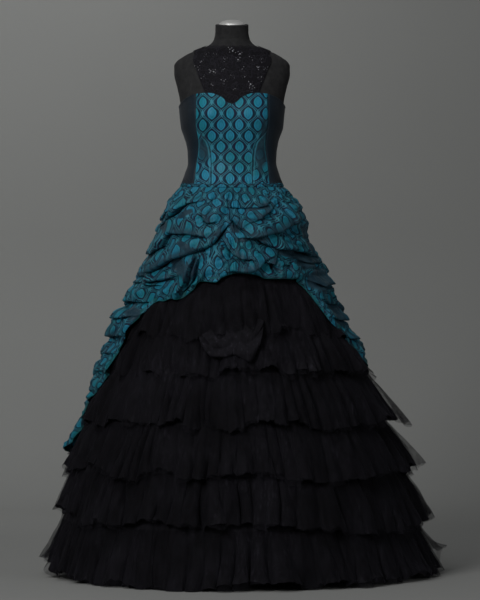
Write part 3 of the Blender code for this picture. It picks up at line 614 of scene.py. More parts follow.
# Picked-up folds: lift and width of the lap, how far the cloth's pattern shifts across and down where it is
# hidden in the lap, and points across the front view and up. All are millimetres.
LAPS = (
    (14, 24, 20, 24, ((-86, 1004), (-119, 1004), (-138, 988), (-157, 972), (-181, 953), (-200, 932),
                      (-240, 915))),
    (12, 19, -14, -24, ((-86, 980), (-76, 956), (-59, 947), (-32, 942))),
    (11, 22, -18, 24, ((-168, 1002), (-173, 980), (-194, 958), (-225, 948))),
    (14, 24, 16, -24, ((-59, 899), (-86, 918), (-122, 923), (-162, 923), (-173, 907), (-186, 883),
                       (-205, 869), (-250, 858))),
    (16, 26, -22, 24, ((0, 945), (-27, 923), (-51, 899), (-86, 880), (-113, 869), (-154, 853), (-186, 832),
                       (-200, 823), (-250, 812))),
    (12, 18, 10, -22, ((-94, 869), (-103, 842), (-116, 800), (-132, 770), (-153, 738))),
    (11, 18, -12, 20, ((-82, 862), (-92, 838), (-101, 812), (-116, 783), (-138, 752), (-156, 736))),
    (9, 20, 16, -24, ((-150, 798), (-186, 792), (-215, 790), (-243, 806), (-290, 800))),
    (12, 22, 20, 24, ((-14, 984), (22, 990), (62, 993), (89, 999), (116, 1012))),
    (11, 20, -18, -24, ((135, 996), (116, 990), (97, 980), (81, 966), (43, 942))),
    (15, 24, 24, 24, ((22, 904), (49, 910), (81, 918), (108, 922), (130, 930), (151, 944), (205, 958))),
    (15, 22, -20, -24, ((40, 897), (70, 902), (97, 893), (119, 885), (157, 882), (184, 875), (197, 864),
                        (240, 852))),
    (19, 26, 18, 24, ((97, 848), (81, 836), (54, 822), (22, 817), (-4, 812))),
    (14, 20, -14, -24, ((-30, 902), (-5, 878), (22, 856), (45, 845), (60, 838))),
    (15, 22, 12, 22, ((-16, 974), (0, 958), (16, 942), (32, 926), (42, 914))),
    (9, 18, 10, -20, ((65, 812), (81, 796), (103, 791), (140, 790), (172, 789))),
    (13, 20, 8, 16, ((124, 874), (111, 837), (119, 815), (126, 792))),
    (8, 16, -8, -14, ((157, 850), (151, 829), (157, 800))),
    (11, 20, 14, 24, ((178, 842), (205, 836), (238, 846), (275, 828))),
    (11, 20, -16, -24, ((205, 790), (235, 778), (262, 788), (300, 772))),
    (10, 18, 12, 22, ((235, 738), (262, 730), (290, 738), (325, 722))),
    (10, 18, -12, -22, ((262, 690), (288, 684), (318, 690), (352, 672))),
    (9, 16, 12, 20, ((300, 640), (325, 634), (352, 640), (385, 622))),
    (12, 20, 18, -24, ((-190, 770), (-215, 778), (-243, 790), (-275, 776))),
    (12, 20, -16, 24, ((-215, 728), (-245, 738), (-278, 742), (-320, 722))),
    (11, 18, 14, -24, ((-255, 690), (-285, 692), (-315, 694), (-360, 672))),
    (11, 18, -14, 24, ((-285, 640), (-312, 644), (-338, 648), (-380, 628))),
    (10, 18, 12, -24, ((-318, 590), (-340, 596), (-362, 600), (-405, 580))),
    (10, 16, -12, 22, ((-348, 540), (-368, 544), (-386, 548), (-430, 530))),
    (9, 16, 12, -22, ((-372, 490), (-392, 494), (-408, 500), (-450, 480))),
)
# The same round the back: lift, width, pattern shifts, then points in degrees round and millimetres up
BACK_LAPS = (
    (13, 26, 20, 24, ((100, 930), (122, 905), (150, 912), (172, 940))),
    (13, 26, -20, -24, ((-102, 922), (-126, 898), (-152, 906), (-174, 938))),
    (14, 28, 16, 24, ((96, 830), (118, 792), (146, 790), (178, 834))),
    (14, 28, -16, -24, ((-98, 822), (-120, 784), (-150, 780), (-182, 826))),
    (13, 28, 18, 24, ((92, 730), (112, 690), (138, 676), (166, 712), (186, 720))),
    (13, 28, -18, -24, ((-92, 742), (-114, 700), (-142, 682), (-170, 706), (-190, 720))),
    (12, 26, 14, 24, ((98, 610), (124, 566), (152, 560), (178, 596))),
    (12, 26, -14, -24, ((-98, 600), (-126, 552), (-154, 556), (-180, 590))),
    (11, 24, 12, 24, ((112, 500), (136, 458), (164, 470))),
    (11, 24, -12, -24, ((-106, 488), (-134, 446), (-166, 462))),
)
# Soft ridges (+) and troughs (-): height and width, then points across the front view and up. All are mm.
RIPPLES = (
    (4, 9, ((-70, 1000), (-92, 970), (-124, 950), (-150, 930))),
    (-4, 7, ((-50, 1002), (-62, 975), (-70, 950), (-96, 935))),
    (4, 10, ((-40, 905), (-80, 890), (-120, 890), (-160, 880))),
    (-4, 8, ((-20, 930), (-60, 912), (-100, 903), (-140, 902))),
    (4, 9, ((-10, 985), (-30, 965), (-48, 955), (-75, 960))),
    (-8, 7, ((-8, 1028), (-12, 1000), (-10, 975), (2, 955))),
    (-6, 6, ((-34, 1026), (-46, 1008), (-68, 996), (-96, 992))),
    (-6, 6, ((34, 1026), (46, 1014), (68, 1010))),
    (-6, 6, ((-66, 1030), (-90, 1016), (-112, 1006))),
    (-6, 6, ((82, 1030), (104, 1020), (128, 1004))),
    (4, 9, ((20, 1010), (28, 998), (50, 1004), (84, 1014))),
    (4, 10, ((10, 975), (40, 972), (72, 980), (100, 990))),
    (-4, 8, ((20, 960), (52, 955), (80, 962), (104, 972))),
    (4, 9, ((40, 930), (74, 934), (110, 942), (140, 960))),
    (-4, 7, ((60, 948), (90, 950), (118, 962), (140, 980))),
    (4, 9, ((30, 880), (62, 870), (90, 868), (120, 862))),
    (-4, 8, ((-20, 870), (0, 850), (24, 838), (52, 826))),
    (5, 9, ((-60, 860), (-50, 840), (-30, 822), (-6, 812))),
    (4, 8, ((-70, 845), (-76, 815), (-90, 790), (-110, 776))),
    (-5, 7, ((-120, 862), (-140, 840), (-168, 822), (-196, 808))),
    (4, 9, ((-130, 845), (-150, 826), (-178, 800), (-206, 788))),
    (-4, 8, ((-160, 915), (-182, 890), (-204, 872))),
    (4, 8, ((140, 920), (165, 905), (188, 880), (210, 860))),
    (-5, 8, ((124, 905), (150, 895), (176, 888), (198, 880))),
    (4, 8, ((140, 985), (160, 960), (180, 935), (196, 905))),
    (-4, 7, ((120, 1000), (146, 972), (168, 940), (184, 912))),
    (4, 9, ((205, 900), (215, 870), (232, 845), (256, 822))),
    (-4, 8, ((215, 880), (228, 850), (250, 826), (280, 800))),
    (4, 8, ((240, 800), (262, 760), (290, 720), (318, 680))),
    (-4, 8, ((-205, 860), (-214, 830), (-232, 806), (-255, 790))),
    (4, 9, ((-230, 780), (-250, 740), (-276, 700), (-300, 660))),
    (-4, 8, ((-262, 750), (-286, 706), (-310, 660), (-336, 610))),
    (9, 16, ((158, 1024), (176, 1000), (190, 974))),
)
# Patches of painted sheen, plain slate colour where the changeable damask's figure fades as the cloth turns
# from the light: middle across and up, half width and half height, and lean
PLAIN_AREAS = (
    (-140, 826, 34, 20, -0.5), (-112, 880, 24, 7, -0.4), (156, 862, 44, 15, -0.30), (200, 836, 26, 24, -0.9),
    (240, 790, 34, 30, -0.6), (-178, 935, 14, 16, 0.5), (205, 930, 12, 34, -0.3), (30, 900, 22, 7, 0.1),
    (290, 700, 16, 44, 0.5), (-232, 862, 16, 30, 0.6), (214, 880, 20, 30, 0.4),
    (70, 985, 34, 6, 0.15), (-126, 968, 20, 7, 0.6), (8, 925, 16, 8, -0.7), (-262, 700, 14, 26, -0.4),
)


def line_distance(x, height, points):
    """Distance above (+) or below (-) a line, and from the nearest place on it to the line's nearer end."""
    line = np.array(points, float) / 1000
    spans = np.linalg.norm(np.diff(line, axis=0), axis=1)
    run = np.concatenate([[0], np.cumsum(spans)])
    nearest, signed, along = np.full(x.shape, 1e9), np.zeros(x.shape), np.zeros(x.shape)
    for first, last, before, span in zip(line[:-1], line[1:], run[:-1], spans):
        way = (last - first) / span
        dx, dz = x - first[0], height - first[1]
        share = np.clip(dx * way[0] + dz * way[1], 0, span)
        away = np.hypot(dx - share * way[0], dz - share * way[1])
        above = np.sign(dz * abs(way[0]) - dx * way[1] * np.sign(way[0] or 1.0))
        closer = away < nearest
        nearest = np.where(closer, away, nearest)
        signed = np.where(closer, away * above, signed)
        along = np.where(closer, before + share, along)
    return signed, np.minimum(along, run[-1] - along)


def overskirt_points(angle, down):
    """Points of the overskirt, their places on the flat cloth, and marks for its painted sheen (plain), its
    edge, and painted shade along its folds.
    """
    top = band_foot(angle) - 0.0003
    wrapped = (angle + math.pi) % (2 * math.pi) - math.pi
    hem = smooth_curve(OVERSKIRT_HEM, 1, np.degrees(wrapped))
    scallops = 0.0035 * soft_noise(wrapped * 36 / math.pi, 0 * wrapped, 8, 72)
    height = top + (hem + scallops * rounded_step(np.abs(wrapped), 0.2, 0.6) - top) * down
    start = form_reach(wrapped, top, FORM_GAP + 0.0045)
    below = np.clip((top - height) / (top - WAIST_JOIN_HEIGHT), 0, 1)
    reach = start + (table_reach(OVERSKIRT_SECTIONS, wrapped, height) - start) * below

    # Where a point shows in the camera's view. Past the sides the distance runs on round the dress.
    side = np.minimum(np.abs(wrapped), math.pi / 2)
    nearer = CAMERA_REACH / (CAMERA_REACH - reach * np.cos(side))
    past_side = np.clip(np.abs(wrapped) - math.pi / 2, 0, None)
    x = np.sign(wrapped) * (reach * np.sin(side) * nearer + reach * past_side)
    z = CAMERA_HEIGHT + (height - CAMERA_HEIGHT) * nearer
    x += 0.004 * soft_noise(x * 30 + 90, z * 30, 21)
    z += 0.004 * soft_noise(x * 30 + 90, z * 30, 22)

    out, drop, wear_and_sheen, crease_shade = (np.zeros_like(x) for _ in range(4))
    from_point, spread = CUT_POINT + CUT_SLANT * (top - height), CUT_SPREAD * wrapped
    cloth_x = from_point * np.sin(spread) + 0.014 * soft_noise(x * 7 + 40, z * 8, 41)
    cloth_z = -from_point * np.cos(spread) + 0.014 * soft_noise(x * 7 + 40, z * 8, 42)
    cloth_x += 0.003 * soft_noise(x * 24 + 40, z * 24, 43)
    cloth_z += 0.003 * soft_noise(x * 24 + 40, z * 24, 44)

    # Above its line a lap swells and hangs over, below it the cloth sinks. Hidden cloth shifts the pattern.
    all_laps = [(False, lap) for lap in LAPS] + [(True, lap) for lap in BACK_LAPS]
    for behind, (lift, width, shift_x, shift_z, points) in all_laps:
        here_x, here_z = (wrapped * BACK_REACH, height) if behind else (x, z)
        if behind:
            points = [(math.radians(turn) * BACK_REACH * 1000, up) for turn, up in points]
            # A lap that runs past the centre back also reaches the panel's last column, at 180 degrees
            past_back = points[-1][0] > math.pi * BACK_REACH * 1000
            signed, end = line_distance((angle if past_back else wrapped) * BACK_REACH, height, points)
            signed = np.where(np.abs(wrapped) > 1.2, signed, 9.0)
        else:
            signed, end = line_distance(x, z, points)
        lift, width = lift / 1000, width / 1000
        fade = 0.12 + 0.88 * rounded_step(end, 0, 0.045)
        near = np.abs(signed) < 5 * width
        over = rounded_step(signed, -0.0012, 0.0012)
        rim = 0.20 * width
        curl = np.clip(signed / rim, 0, 1)
        raised = 0.35 + 0.65 * np.sqrt(curl * (2 - curl))
        raised *= np.exp(-np.clip(signed - rim, 0, None) / (1.25 * width))
        sunk = 0.45 * np.exp(np.clip(signed, None, 0) / (0.60 * width))
        out += 1.5 * lift * fade * (raised * over - sunk * (1 - over)) * near
        out -= 0.95 * lift * fade * np.exp(-(((signed + 0.0032) / 0.0040) ** 2))
        drop += 0.90 * lift * fade * over * near * np.exp(-((np.clip(signed, 0, None) / 0.011) ** 2))
        # Painted sheen: a band along each lap's rolled edge, where the cloth turns towards the light and shows
        # plain slate
        wear_and_sheen = np.maximum(wear_and_sheen, fade * np.exp(-(((signed - 0.0055) / 0.0062) ** 2)))
        # Painted shade: a mark that darkens the cloth in the trough under each lap, where shade falls
        crease_shade = np.maximum(crease_shade, fade * np.exp(-(((signed + 0.0026) / 0.0034) ** 2)))
        run = np.hypot(*np.diff(points, axis=0).T).sum() / 1000
        shown = min(1.0, run / 0.16) * (0.3 + 0.7 * rounded_step(end, 0, 0.06))
        hidden = shown * np.exp(np.clip(signed, None, 0) / 0.16) * (signed < 0) * (signed > -0.4)
        (first_x, first_z), (last_x, last_z) = points[0], points[-1]
        lean = math.atan2(last_z - first_z, abs(last_x - first_x)) * (1 if last_x > first_x else -1)
        lean = 0.35 * lean if abs(lean) < 0.9 else 0.0
        beside_x = np.clip(here_x - (first_x + last_x) / 2000, -0.08, 0.08)
        beside_z = np.clip(here_z - (first_z + last_z) / 2000, -0.08, 0.08)
        cloth_x += (shift_x / 1000 + lean * beside_z) * hidden
        cloth_z -= (shift_z / 1000 + lean * beside_x) * hidden
    for lift, width, points in RIPPLES:
        signed, end = line_distance(x, z, points)
        ends = rounded_step(end, 0, 0.03)
        strength, darkened = (1.4, 0.0) if lift > 0 else (1.9, 0.85)
        out += strength * lift / 1000 * ends * np.exp(-np.abs(signed) * 1000 / (0.75 * width))
        # Painted shade: the troughs among the ripples are darkened where shade falls
        crease_shade = np.maximum(crease_shade, darkened * ends * np.exp(-((signed / 0.0026) ** 2)))

    # Hanging folds at the sides and back, gathers under the waist, and crumpled cloth all over
    beside = rounded_step(np.abs(wrapped), math.radians(35), math.radians(65))
    fallen = top - height
    lower = beside * np.clip(fallen / 0.45, 0, 1)
    out += 0.009 * lower * np.cos(18 * wrapped + 0.8 * np.sin(3 * wrapped))
    out += 0.002 * lower * ridge(47 * wrapped + 3 * np.sin(5 * wrapped))
    gathers = ridge(150 * wrapped + 3 * np.sin(11 * wrapped) + 2 * np.sin(29 * wrapped))
    out += 0.0020 * gathers * np.exp(-((fallen / 0.03) ** 2))
    drawn = ridge(52 * wrapped + 3 * np.sin(9 * wrapped) + 9 * fallen * np.sign(wrapped))
    drawn *= 0.55 + 0.45 * np.sin(13 * wrapped + 1)
    out += 0.0042 * drawn * np.exp(-(((fallen - 0.020) / 0.032) ** 2))
    sweep = 0.45 - 0.30 * rounded_step(x, -0.02, 0.04)
    along = x * np.cos(sweep) + z * np.sin(sweep)
    over = z * np.cos(sweep) - x * np.sin(sweep)
    out *= 1 - 0.55 * rounded_step(-wrapped, 0.90, 1.35) * rounded_step(height, 0.74, 0.84)
    out += 0.0130 * np.abs(soft_noise(along * 11 + 60, over * 26 + 10, 61))
    out -= 0.0130 * np.abs(soft_noise(along * 9 + 20, over * 30 + 10, 63))
    out += 0.0072 * np.abs(soft_noise(along * 26 + 30, over * 64 + 20, 62))
    out -= 0.0072 * np.abs(soft_noise(along * 30 + 9, over * 58, 64))
    curled = 1 - np.clip((height - hem) / 0.022, 0, 1)
    out -= 0.012 * (1 - np.sqrt(1 - curled**2 * 0.98))

    # The cloth is kept outside the tulle, the underskirt and the form
    reach += out * np.clip(fallen / 0.02, 0, 1)
    clear = np.maximum(table_reach(SKIRT_SECTIONS, wrapped, height) - 0.004,
                       tulle_envelope(wrapped, height, 0.006) - 0.003)
    clear -= 0.010 * rounded_step(height - hem, 0.015, 0.050)
    clear = np.maximum(clear, form_reach(wrapped, height, FORM_GAP + 0.002))
    clear += 0.25 * np.clip(out, -0.004, 0.004)
    reach = np.where(height < WAIST_JOIN_HEIGHT, np.maximum(reach, clear), reach)
    level = height - drop * np.clip(fallen / 0.02, 0, 1) * np.clip((height - hem) / 0.01, 0, 1)

    # Painted sheen: plain slate colour in patches, and in a band along the rolled edge of each lap, where the
    # changeable damask's figure fades as the cloth turns from the light
    plain = np.zeros_like(x)
    for at_x, at_z, wide, high, lean in PLAIN_AREAS:
        dx, dz = x * 1000 - at_x, z * 1000 - at_z
        across = dx * math.cos(lean) + dz * math.sin(lean)
        up = dz * math.cos(lean) - dx * math.sin(lean)
        far = np.sqrt((across / wide) ** 2 + (up / high) ** 2) + 0.25 * soft_noise(x * 70 + 40, z * 70, 77)
        plain = np.maximum(plain, 1 - rounded_step(far, 0.75, 1.15))
    plain *= 1 - rounded_step(np.abs(wrapped), 1.25, 1.75)
    plain = np.maximum(plain, 0.85 * wear_and_sheen * rounded_step(soft_noise(x * 18 + 40, z * 18, 78), -0.45, 0.05))
    edge = 1 - rounded_step(height - hem, 0.0005, 0.0015)
    cloth = np.stack([cloth_x, cloth_z], axis=-1)
    return at_reach(wrapped, reach, level), cloth, {"plain": plain, "edge": edge, "crease_shade": crease_shade}


def turned_edge(grid, radius, turn_up):
    """Five rows past the last one, which carry the cloth under itself and up inside by turn_up."""
    last, up = grid[-1], np.array((0, 0, 1.0))
    inward = -last * (1, 1, 0) / np.linalg.norm(last[:, :2], axis=1)[:, None]
    rows = [last + radius * ((1 - math.cos(bend)) * inward - math.sin(bend) * up)
            for bend in np.linspace(0, math.pi, 5)[1:]]
    return np.concatenate([grid, rows, [rows[-1] + turn_up * up]])


# Period across and up of the damask's ogee net, and how strongly its lines curve
REPEAT_ACROSS, REPEAT_UP, OGEE = 0.0487, 0.0580, 0.052


def damask_finish(name, marked, depth=1.0, quiet=0.0):
    """Teal figure in satin on a dark ground: a pointed medallion in each cell of an ogee net of double lines.
    `marked` names the piece's marks, `depth` darkens the whole cloth as painted shade, and `quiet` lightens
    the ground."""
    made, silk = finish(name, Sheen_Weight=0.05, Sheen_Roughness=0.35, Sheen_Tint=(0.35, 0.75, 0.85),
                        Specular_IOR_Level=0.20)
    where = silk.at_object()
    chart = silk.node("UVMap", uv_map="cloth")
    across, up = (silk.node("SeparateXYZ", {0: chart}, out=axis) for axis in (0, 1))
    # The net's lines curve. Across a cell cell_a and cell_b run from -0.5 to 0.5, and net is 0 on a line.
    wobble = silk.noise(where, 120.0, 2.0) - 0.5
    p = across / REPEAT_ACROSS + wobble * 0.06
    q = up / REPEAT_UP + wobble * 0.05
    bent = q - (q * (4 * math.pi)).sine() * OGEE
    cell_a = (p + bent + 0.5).fract() - 0.5
    cell_b = (p - bent + 0.5).fract() - 0.5
    net = 0.5 - abs(cell_a).most(abs(cell_b))
    local_x, local_z = (cell_a + cell_b) * 0.5, (cell_a - cell_b) * 0.5

    def shade(*colour):
        return tuple(depth * part for part in colour)

    # The medallion with its heart, the band along the net's lines, the joints, and what edges them all
    round_way = ((local_x / 0.212) ** 2.0 + (local_z / 0.256) ** 2.0) ** 0.5
    leafy = abs(local_x / 0.238) + abs(local_z / 0.286)
    far = round_way * 0.24 + leafy * 0.76
    medallion = far.ramp(1.04, 0.96)
    heart = abs(far - 0.52).ramp(0.10, 0.04).most(abs(local_x).ramp(0.014, 0.006) * far.ramp(0.80, 0.60))
    band = abs(net - 0.060).ramp(0.030, 0.018)
    beside_joint = ((0.5 - abs(local_x)) / 0.085 + abs(local_z) / 0.095).ramp(1.1, 0.8)
    over_joint = (abs(local_x) / 0.085 + (0.5 - abs(local_z)) / 0.095).ramp(1.1, 0.8)
    joint = beside_joint.most(over_joint)
    edging = net.ramp(0.040, 0.028).most(far.ramp(1.60 - 0.45 * quiet, 1.35 - 0.30 * quiet) * (1 - medallion))
    edging = edging.most(abs(net - 0.105).ramp(0.024, 0.012))
    figure = medallion.most(band).most(joint)
    patchy = silk.noise(where, 26.0, 3.0, 0.6)
    changing = (silk.noise(where, 14.0, 2.0) * 0.6 + silk.noise(where, 90.0, 2.0) * 0.4).ramp(0.40, 0.60)
    teal = changing.mix(shade(0.030, 0.310, 0.490), shade(0.018, 0.270, 0.350))
    lattice = changing.mix(shade(0.050, 0.300, 0.420), shade(0.040, 0.255, 0.320))
    ground = patchy.ramp(0.42, 0.60).mix(shade(0.005, 0.052, 0.098), shade(0.010, 0.100, 0.150))
    plum = patchy.ramp(0.40, 0.60).mix(shade(0.014, 0.016, 0.048), shade(0.004, 0.022, 0.044))
    ground = silk.node("Mix", {0: quiet, 6: ground, 7: lattice}, out=2, data_type="RGBA")
    colour = edging.mix(ground, plum)
    colour = band.most(joint).mix(colour, lattice)
    colour = medallion.mix(colour, teal)
    colour = (medallion * heart * 0.65).mix(colour, (0.010, 0.120, 0.200))
    slate = patchy.ramp(0.35, 0.65).mix((0.014, 0.042, 0.064), (0.030, 0.070, 0.098))
    # Painted marks: plain paints the changeable damask's slate sheen, while seam and crease paint shade in the
    # seam grooves and fold troughs; beside_seam and edge are colours of the cloth
    tones = {
        "plain": (1.0, slate), "seam": (0.75, (0.006, 0.014, 0.024)), "beside_seam": (0.8, lattice),
        "crease_shade": (0.70, (0.003, 0.010, 0.024)), "edge": (0.8, (0.010, 0.120, 0.120)),
    }
    for mark in marked:
        share, tone = tones[mark]
        colour = (silk.mark(mark) * share).mix(colour, tone)
    silk.set(Base_Color=colour)
    silk.set(Roughness=0.62 - figure * 0.20 + patchy * 0.08)
    woven = figure * 0.7 + silk.noise(chart.stretched(1.0, 0.1, 1.0), 2300.0) * 0.35
    silk.set(Normal=silk.bump(woven, 0.00030, 0.7, over=silk.bump(patchy, 0.0011, 0.35)))
    return made


# The overskirt's damask is darkened by depth as painted shade for its folds
damask = damask_finish("teal_damask", ("plain", "crease_shade", "edge"), depth=0.79, quiet=0.35)
for name, stops, columns, rows, cut in (
    ("overskirt_left", (-180.0, -95.0, -24.0), (80, 225), 212, (0.95, 0.78)),
    ("overskirt_front", (-24.0, 30.0), (160,), 170, (0.32, 0.32)),
    ("overskirt_right", (30.0, 95.0, 180.0), (205, 80), 212, (0.92, 0.78)),
):
    turns = [np.linspace(*ends, count + 1)[:-1] for *ends, count in zip(stops[:-1], stops[1:], columns)]
    angle = np.radians(np.concatenate([*turns, stops[-1:]]))[None, :]
    down = np.linspace(0, 1, rows + 1)[:, None]
    points, cloth, marks = overskirt_points(angle + 0 * down, down + 0 * angle)
    points = turned_edge(points, radius=0.0012, turn_up=0.012)
    row_of = np.minimum(np.arange(len(points)), rows)
    marks = {mark: values[row_of] for mark, values in marks.items()}
    piece = grid_piece(f"{name}_cloth", points, False, damask, "damask", cloth[row_of], marks)
    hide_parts(name)


# The waist band is a narrow strip of the damask, ruched over a tape and sewn round the waist seam, so that it
# covers the join of bodice and skirts.
# The band's damask is darkened by depth as painted shade
band_cloth = damask_finish("band_damask", (), depth=0.75)
across = np.linspace(0, 1, 17)[:, None]
turn = round_angles(900)[None, :] + 0 * across
band_top = waist_seam(turn) + 0.0004
height = band_top + (band_foot(turn) - 0.0006 - band_top) * across
puffed = np.sqrt(np.clip(1 - (2 * across - 1) ** 2, 0, 1))
ruched = ridge(120 * turn + 3 * np.sin(7 * turn) + 2 * np.sin(23 * turn) + 2.5 * across)
tuck = ridge(2 * math.pi * 1.5 * across + 1.2 * np.sin(9 * turn))
gap = FORM_GAP + 0.0020 + puffed * (0.0012 + 0.0009 * ruched + 0.0004 * tuck)
band_grid = off_form(turn, height, gap)
chart = np.stack([turn * 0.125, height * 1.6 + 0.0012 * ruched], axis=-1)
band = grid_piece("waist_band_cloth", band_grid, True, band_cloth, "damask", chart)
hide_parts("waist_band")


# The bodice is strapless, with a sweetheart top. Its damask front and gores and its slate satin sides and
# back are shaped panels, sewn edge to edge so that they lie smooth on the form. Its top is turned in.

# Distance from the centre front, and height of the top edge there
SWEETHEART = np.array((
    (0.000, 1.2535), (0.010, 1.2570), (0.026, 1.2710), (0.040, 1.2785), (0.053, 1.2825), (0.069, 1.2835),
    (0.088, 1.2825), (0.1015, 1.2800), (0.115, 1.2750), (0.126, 1.2685), (0.134, 1.2605), (0.139, 1.2540),
))
BACK_TOP = 1.236
# Height, and distance from the centre front of the princess seam and of the gore's outer seam
BODICE_SEAMS = np.array((
    (1.300, 0.0940, 0.0946), (1.200, 0.0940, 0.0946), (1.185, 0.0880, 0.0915), (1.156, 0.0640, 0.0880),
    (1.134, 0.0575, 0.0890), (1.104, 0.0550, 0.0930), (1.040, 0.0540, 0.1000),
))
PATTERN_MIDDLE = (-0.0045, 1.2303)


def angle_at(distance, height):
    width = smooth_curve(FORM_SECTIONS, 1, height)
    return np.arcsin(np.clip(distance / width, -1, 1))


def bodice_top(angle):
    """Height of the bodice's top edge at an angle from the centre front."""
    size = np.abs((angle + math.pi) % (2 * math.pi) - math.pi)
    side = smooth_curve(SWEETHEART, 1, SWEETHEART[-1, 0] * np.sin(np.minimum(size, math.pi / 2)))
    back = rounded_step(size, math.pi / 2, math.pi / 2 + 0.7)
    return side + (BACK_TOP - SWEETHEART[-1, 1]) * back


def seam_angle(column, side):
    return lambda height: side * angle_at(smooth_curve(BODICE_SEAMS, column, height), height)


def straight_seam(degrees):
    return lambda height: np.full_like(height, math.radians(degrees))


def round_the_form(angle, height):
    """Distance over the form's surface from its centre front."""
    share = np.linspace(0, 1, 25)[:, None, None]
    way = form_point(angle * share, height + 0 * share)
    return np.sign(angle) * np.linalg.norm(np.diff(way, axis=0), axis=-1).sum(axis=0)


def bodice_piece(name, node, start, end, columns, rows, look, slot, cut, grain=0.0):
    """A panel between two seams, with its top turned over and its long edges sunk into the seams. `grain` is
    how far its cloth is turned in the cutting."""
    across = np.linspace(0, 1, columns + 1)[None, :]
    down = np.linspace(0, 1, rows + 1)[:, None]
    height = np.full((rows + 1, columns + 1), 1.15)
    # The seams depend on the height and the height on the angle between them, so both settle in a few rounds
    for _ in range(8):
        first, last = start(height), end(height)
        angle = first + (last - first) * across
        height = bodice_top(angle) * (1 - down) + (waist_seam(angle) - 0.0015) * down
    width = np.abs(last - first) * smooth_curve(FORM_SECTIONS, 1, height)
    seam = np.minimum(across, 1 - across) * width
    x, z = form_point(angle, height)[..., 0], height
    gap = FORM_GAP + BODICE_CLOTH - 0.0020 * np.exp(-((seam / 0.0022) ** 2))
    gap += 0.0011 * np.exp(-(((bodice_top(angle) - height) / 0.0022) ** 2))
    # The cloth's slack: soft hollows, a pull between the busts, and small gathers over the waist
    outer = np.clip((np.abs(angle) - 0.55) / 0.4, 0, 1)
    lean = np.sign(angle) * x * 30 + z * 36
    gap += 0.0016 * outer * soft_noise(lean * 0.6 + 40, z * 9 - np.abs(x) * 6 + 20, 15)
    gap += 0.0012 * soft_noise(x * 34 + 40 + z * 12, z * 22 + 30, 16)
    pull = np.exp(-(((x - 0.004) / 0.013) ** 2) - ((z - 1.205) / 0.045) ** 2) * np.clip(np.cos(angle), 0, 1)
    gap += 0.0016 * pull * np.cos((x + 0.35 * (z - 1.2)) * 520)
    gap += 0.0010 * ridge(95 * angle + 2 * np.sin(13 * angle)) * np.exp(-(((height - 1.048) / 0.010) ** 2))
    grid = off_form(angle, height, np.maximum(gap, FORM_GAP + 0.0004))
    top = [off_form(angle[0], height[0] + rise, np.full(columns + 1, away) + FORM_GAP)
           for rise, away in ((-0.004, 0.0002), (0.0002, 0.0004), (0.0012, 0.0016), (0.0012, 0.0028))]
    grid = np.concatenate([top, grid])
    # The pattern follows distances over the form, turned with the grain
    across_cloth, up_cloth = round_the_form(angle, height) - PATTERN_MIDDLE[0], height - PATTERN_MIDDLE[1]
    turned = across_cloth * math.cos(grain) + up_cloth * math.sin(grain) + 0.13 * grain
    chart = np.stack([turned, up_cloth * math.cos(grain) - across_cloth * math.sin(grain)], axis=-1)
    # Painted sheen: plain slate patches under the busts and beside the right bust, where the damask's figure
    # fades as the cloth turns from the light
    plain = np.zeros(x.shape)
    for at_x, at_z, wide, high in ((-76, 1134, 18, 40), (77, 1128, 19, 52), (84, 1185, 10, 30)):
        far = np.hypot((x * 1000 - at_x) / wide, (z * 1000 - at_z) / high)
        faded = 1 - rounded_step(far + 0.30 * soft_noise(x * 70 + 40, z * 60, 19), 0.55, 1.15)
        plain = np.maximum(plain, 0.88 * faded)
    # Painted shade: a dark line along each seam groove
    seam_shade = np.exp(-((seam / 0.0014) ** 2))
    beside = np.exp(-(((seam - 0.0040) / 0.0016) ** 2)) * (1 - rounded_step(height, 1.16, 1.175))
    marks = {"plain": plain, "seam": seam_shade, "beside_seam": beside}
    row_of = np.maximum(np.arange(-len(top), rows + 1), 0)
    marks = {mark: values[row_of] for mark, values in marks.items()}
    piece = grid_piece(name, grid, False, look, slot, chart[row_of], marks)
    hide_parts(node)


bodice_damask = damask_finish("bodice_damask", ("plain", "seam", "beside_seam"))

slate_satin, satin = finish("slate_satin", Sheen_Weight=0.08, Sheen_Roughness=0.4,
                            Sheen_Tint=(0.45, 0.60, 0.80), Specular_IOR_Level=0.25)
where = satin.at_object()
cloudy = satin.noise(where, 14.0, 4.0, 0.6)
ribbed = satin.noise(where.stretched(1.0, 1.0, 0.06), 1700.0)
shot = satin.noise(where.stretched(0.05, 0.05, 1.0), 900.0)
slate = (cloudy * 0.6 + shot * 0.4).ramp(0.36, 0.64).mix((0.0130, 0.0180, 0.0245), (0.0240, 0.0305, 0.0385))
# Painted sheen: the satin turns deep blue near the front seams, where it shines at the bust edges
beside_seam = abs(satin.node("SeparateXYZ", {0: where}) - float(AXIS[0])).ramp(0.125, 0.085)
satin.set(Base_Color=(beside_seam * 0.55).mix(slate, (0.006, 0.028, 0.050)))
satin.set(Roughness=cloudy * 0.16 + 0.38)
satin.set(Normal=satin.bump(ribbed, 0.00025, 0.6, over=satin.bump(cloudy, 0.0010, 0.3)))

